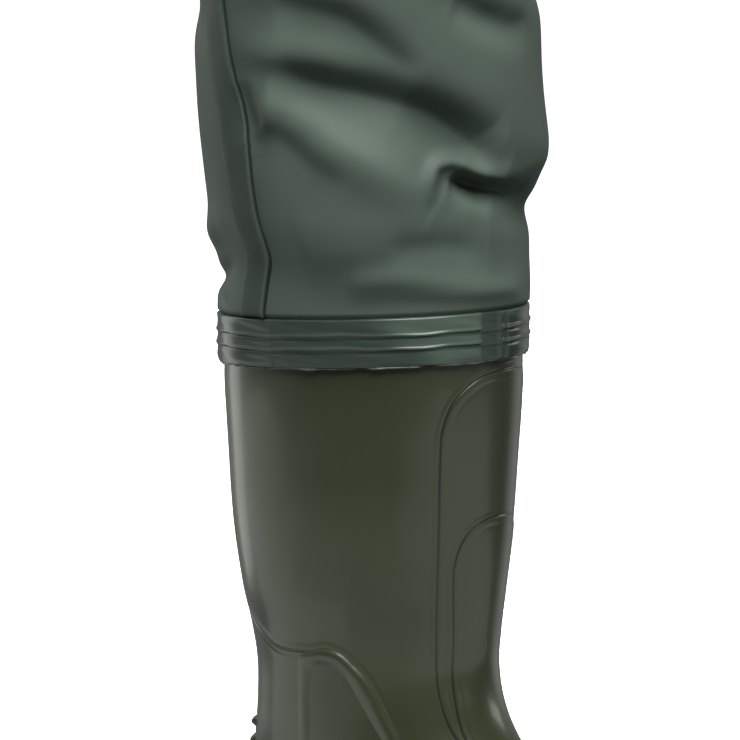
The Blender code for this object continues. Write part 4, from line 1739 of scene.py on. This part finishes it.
    def flash(self) -> Piece:
        """Builds and dresses the ragged bead of flowed PVC along the band's lower edge.

        Returns:
            The piece.
        """
        turn = np.radians(np.linspace(-180.0, 180.0, self.columns * 2, endpoint=False))
        ragged = sum(size * np.sin(turn * crests + lag) for size, crests, lag in self.ragged_waves)
        swell, rise, stand = (
            plain + more * ragged for plain, more in (self.flash_swell, self.flash_rise, self.flash_stand)
        )
        radius = self.flash_radius * np.clip(swell, *self.flash_limits)
        rows = []
        for corner in np.linspace(0.0, 2 * math.pi, self.flash_corners, endpoint=False):
            height = self.bottom + rise + radius * self.flash_height * math.sin(corner)
            proud = self.seat_low + stand + radius * self.flash_depth * math.cos(corner)
            rows.append(self.skin.raised(turn, height * MM, proud * MM))
        piece = add_sweep("weld_flash", np.stack(rows), closed=True)
        piece.data.materials.append(FLASH_PVC.material())
        return hand_over(piece, Slot.BAND)

    def build(self) -> list[Piece]:
        """Builds and dresses the band."""
        return [self.band(), self.flash()]


@dataclass(frozen=True)
class SoftLight:
    """A softbox: where it hangs, where it aims, its width and height, and its power."""

    name: str
    place: Spot
    aim: Spot
    size: tuple[float, float]
    power: float
    lights: Lights = Lights.GLOSS
    tint: str = "fafff5"

    table_rise: ClassVar[float] = 0.004

    @classmethod
    def on_table(cls, name: str, x: float, y: float, size: tuple[float, float], power: float) -> SoftLight:
        """A bright patch of the table that faces up and shows in the gloss alone."""
        return cls(name, (x, y, cls.table_rise), (x, y, 1.0), size, power)

    def hang(self) -> None:
        """Adds the light."""
        lamp = bpy.data.lights.new(self.name, "AREA")
        lamp.shape = "RECTANGLE"
        lamp.size, lamp.size_y = self.size
        lamp.energy = self.power
        lamp.color = linear(self.tint)[:3]
        light = bpy.data.objects.new(self.name, lamp)
        light.location = self.place
        light.rotation_euler = (Vector(self.aim) - Vector(self.place)).to_track_quat("-Z", "Y").to_euler()
        light.visible_diffuse = self.lights is not Lights.GLOSS
        light.visible_glossy = self.lights is not Lights.COLOUR
        light.visible_camera = False
        bpy.context.scene.collection.objects.link(light)


@dataclass(frozen=True)
class Glow:
    """A pale panel of the studio's walls: direction, angles where it is full and gone, and strength."""

    azimuth: float
    elevation: float
    inner: float
    outer: float
    strength: float

    def level(self, tree: Tree, view: Socket, base: float = 0.0) -> Socket:
        """Works out how bright the panel makes the world.

        Args:
            tree: the world's tree.
            view: the direction in which the world is looked at.
            base: brightness outside the panel.

        Returns:
            The brightness in that direction.
        """
        towards = {"operation": "DOT_PRODUCT", 1: direction(self.azimuth, self.elevation)}
        near = add_node(tree, "ShaderNodeVectorMath", towards, {0: view}).outputs["Value"]
        full, gone = (math.cos(math.radians(angle)) for angle in (self.inner, self.outer))
        span = {"interpolation_type": "SMOOTHSTEP", "From Min": gone, "From Max": full}
        span |= {"To Min": base, "To Max": base + self.strength}
        return add_node(tree, "ShaderNodeMapRange", span, {"Value": near}).outputs["Result"]


@dataclass(frozen=True)
class Studio:
    """Pale floor, soft lights and the camera at the picture's angle."""

    azimuth: float = 33.0
    elevation: float = 8.0
    distance: float = 3.0
    frame_width: float = 0.3256
    sensor: float = 36.0
    target: Spot = (0.0162, -0.0012, 0.2656)
    far: float = 100.0
    floor_side: float = 40.0
    sky: float = 0.10
    room_tone: str = "f1f8f0"
    glow_near: float = 0.35
    glow_far: float = 1.0
    glow_start: float = 0.2
    glow_end: float = 0.5

    # Matt white acrylic paint, rolled on: even and pale, with no gloss to mirror the boot.
    paint: ClassVar[Finish] = Finish(
        name="matt_white_acrylic",
        tone="f6f6f6",
        second_tone="fafafa",
        patch=0.8,
        roughness=(0.85, 0.95),
        gloss_patch=0.5,
        grain=0.004,
        grain_depth=0.00005,
    )
    # A key light, a fill for the back, and softboxes and bright patches that only the gloss shows
    lights: ClassVar[tuple[SoftLight, ...]] = (
        SoftLight(
            "key_softbox", (0.80, -0.93, 2.36), (0.0, 0.0, 0.3), (1.6, 1.6), 102.0, Lights.ALL, "ffffff"
        ),
        SoftLight("back_fill", (-1.04, 1.60, 1.40), (0.0, 0.0, 0.35), (1.6, 1.6), 45.0, Lights.COLOUR),
        SoftLight("instep_softbox", (0.94, 1.45, 0.49), (0.0, 0.0, 0.12), (0.60, 0.30), 1.7),
        SoftLight.on_table("front_table_glow", -0.025, -0.48, (0.65, 0.65), 0.72),
        SoftLight.on_table("heel_table_glow", -0.18, -0.27, (0.32, 0.30), 0.18),
        SoftLight.on_table("heel_table_rim", -0.11, -0.28, (0.50, 0.36), 0.25),
        SoftLight.on_table("side_table_glow", -0.775, -0.43, (0.85, 0.66), 1.75),
        SoftLight.on_table("toe_table_glow", 0.76, -0.15, (0.90, 1.1), 2.65),
        SoftLight("toe_softbox", (1.25, -0.05, 0.29), (0.0, -0.02, 0.12), (0.70, 0.22), 0.30),
        SoftLight("shaft_softbox", (-0.48, 0.03, 0.34), (0.0, 0.03, 0.34), (0.18, 0.60), 0.55),
    )
    glows: ClassVar[tuple[Glow, ...]] = (
        Glow(azimuth=213.0, elevation=0.0, inner=30.0, outer=65.0, strength=0.16),
        Glow(azimuth=-74.0, elevation=8.0, inner=12.0, outer=50.0, strength=0.28),
        Glow(azimuth=172.0, elevation=-10.0, inner=4.0, outer=20.0, strength=0.40),
    )

    def floor(self) -> None:
        """Lays a wide pale floor, lit from beneath away from the wader, that fills the picture's ground."""
        half = self.floor_side / 2
        corners = np.array([(-half, -half, 0.0), (half, -half, 0.0), (half, half, 0.0), (-half, half, 0.0)])
        floor = add_piece("studio_floor", corners, [[0, 1, 2, 3]])
        material = self.paint.material()
        tree = material.node_tree
        shader = tree.nodes["Principled BSDF"]
        place = add_node(tree, "ShaderNodeTexCoord").outputs["Object"]
        away = add_node(tree, "ShaderNodeVectorMath", {"operation": "LENGTH"}, {0: place})
        span = {"From Min": self.glow_start, "From Max": self.glow_end}
        span |= {"To Min": self.glow_near, "To Max": self.glow_far}
        glow = add_node(tree, "ShaderNodeMapRange", span, {"Value": away.outputs["Value"]})
        tree.links.new(glow.outputs["Result"], shader.inputs["Emission Strength"])
        shader.inputs["Emission Color"].default_value = linear("ffffff")
        floor.data.materials.append(material)
        floor.visible_glossy = False
        floor.visible_diffuse = False

    def camera(self) -> None:
        """Sets the camera."""
        back = Vector(direction(self.azimuth, self.elevation))
        data = bpy.data.cameras.new("camera")
        data.sensor_width = self.sensor
        data.lens = self.sensor * self.distance / self.frame_width
        data.clip_end = self.far
        camera = bpy.data.objects.new("camera", data)
        camera.location = Vector(self.target) + back * self.distance
        camera.rotation_euler = (-back).to_track_quat("-Z", "Y").to_euler()
        bpy.context.scene.collection.objects.link(camera)
        bpy.context.scene.camera = camera

    def room(self) -> None:
        """Paints the world: an even dim room with the pale panels in it."""
        world = bpy.data.worlds.new("studio")
        world.use_nodes = True
        tree = world.node_tree
        view = add_node(tree, "ShaderNodeTexCoord").outputs["Generated"]
        first, *others = self.glows
        total = first.level(tree, view, self.sky)
        for glow in others:
            both = {0: total, 1: glow.level(tree, view)}
            total = add_node(tree, "ShaderNodeMath", {}, both).outputs[0]
        background = tree.nodes["Background"]
        tree.links.new(total, background.inputs["Strength"])
        background.inputs["Color"].default_value = linear(self.room_tone)
        bpy.context.scene.world = world

    def build(self) -> None:
        """Builds the studio."""
        self.floor()
        for light in self.lights:
            light.hang()
        self.room()
        bpy.context.scene.view_settings.view_transform = "Standard"
        self.camera()


def main() -> None:
    """Builds the wader's pieces in order and the studio around them."""
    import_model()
    boot_skin = BootSkin()
    makers = (Sole(boot_skin), Boot(boot_skin), Leg(LegSkin(boot_skin)), WeldBand(boot_skin))
    for maker in makers:
        for piece in maker.build():
            LOG.info("%s: %d faces", piece.name, len(piece.data.polygons))
    Studio().build()


if __name__ == "__main__":
    logging.basicConfig(level=logging.INFO)
    main()
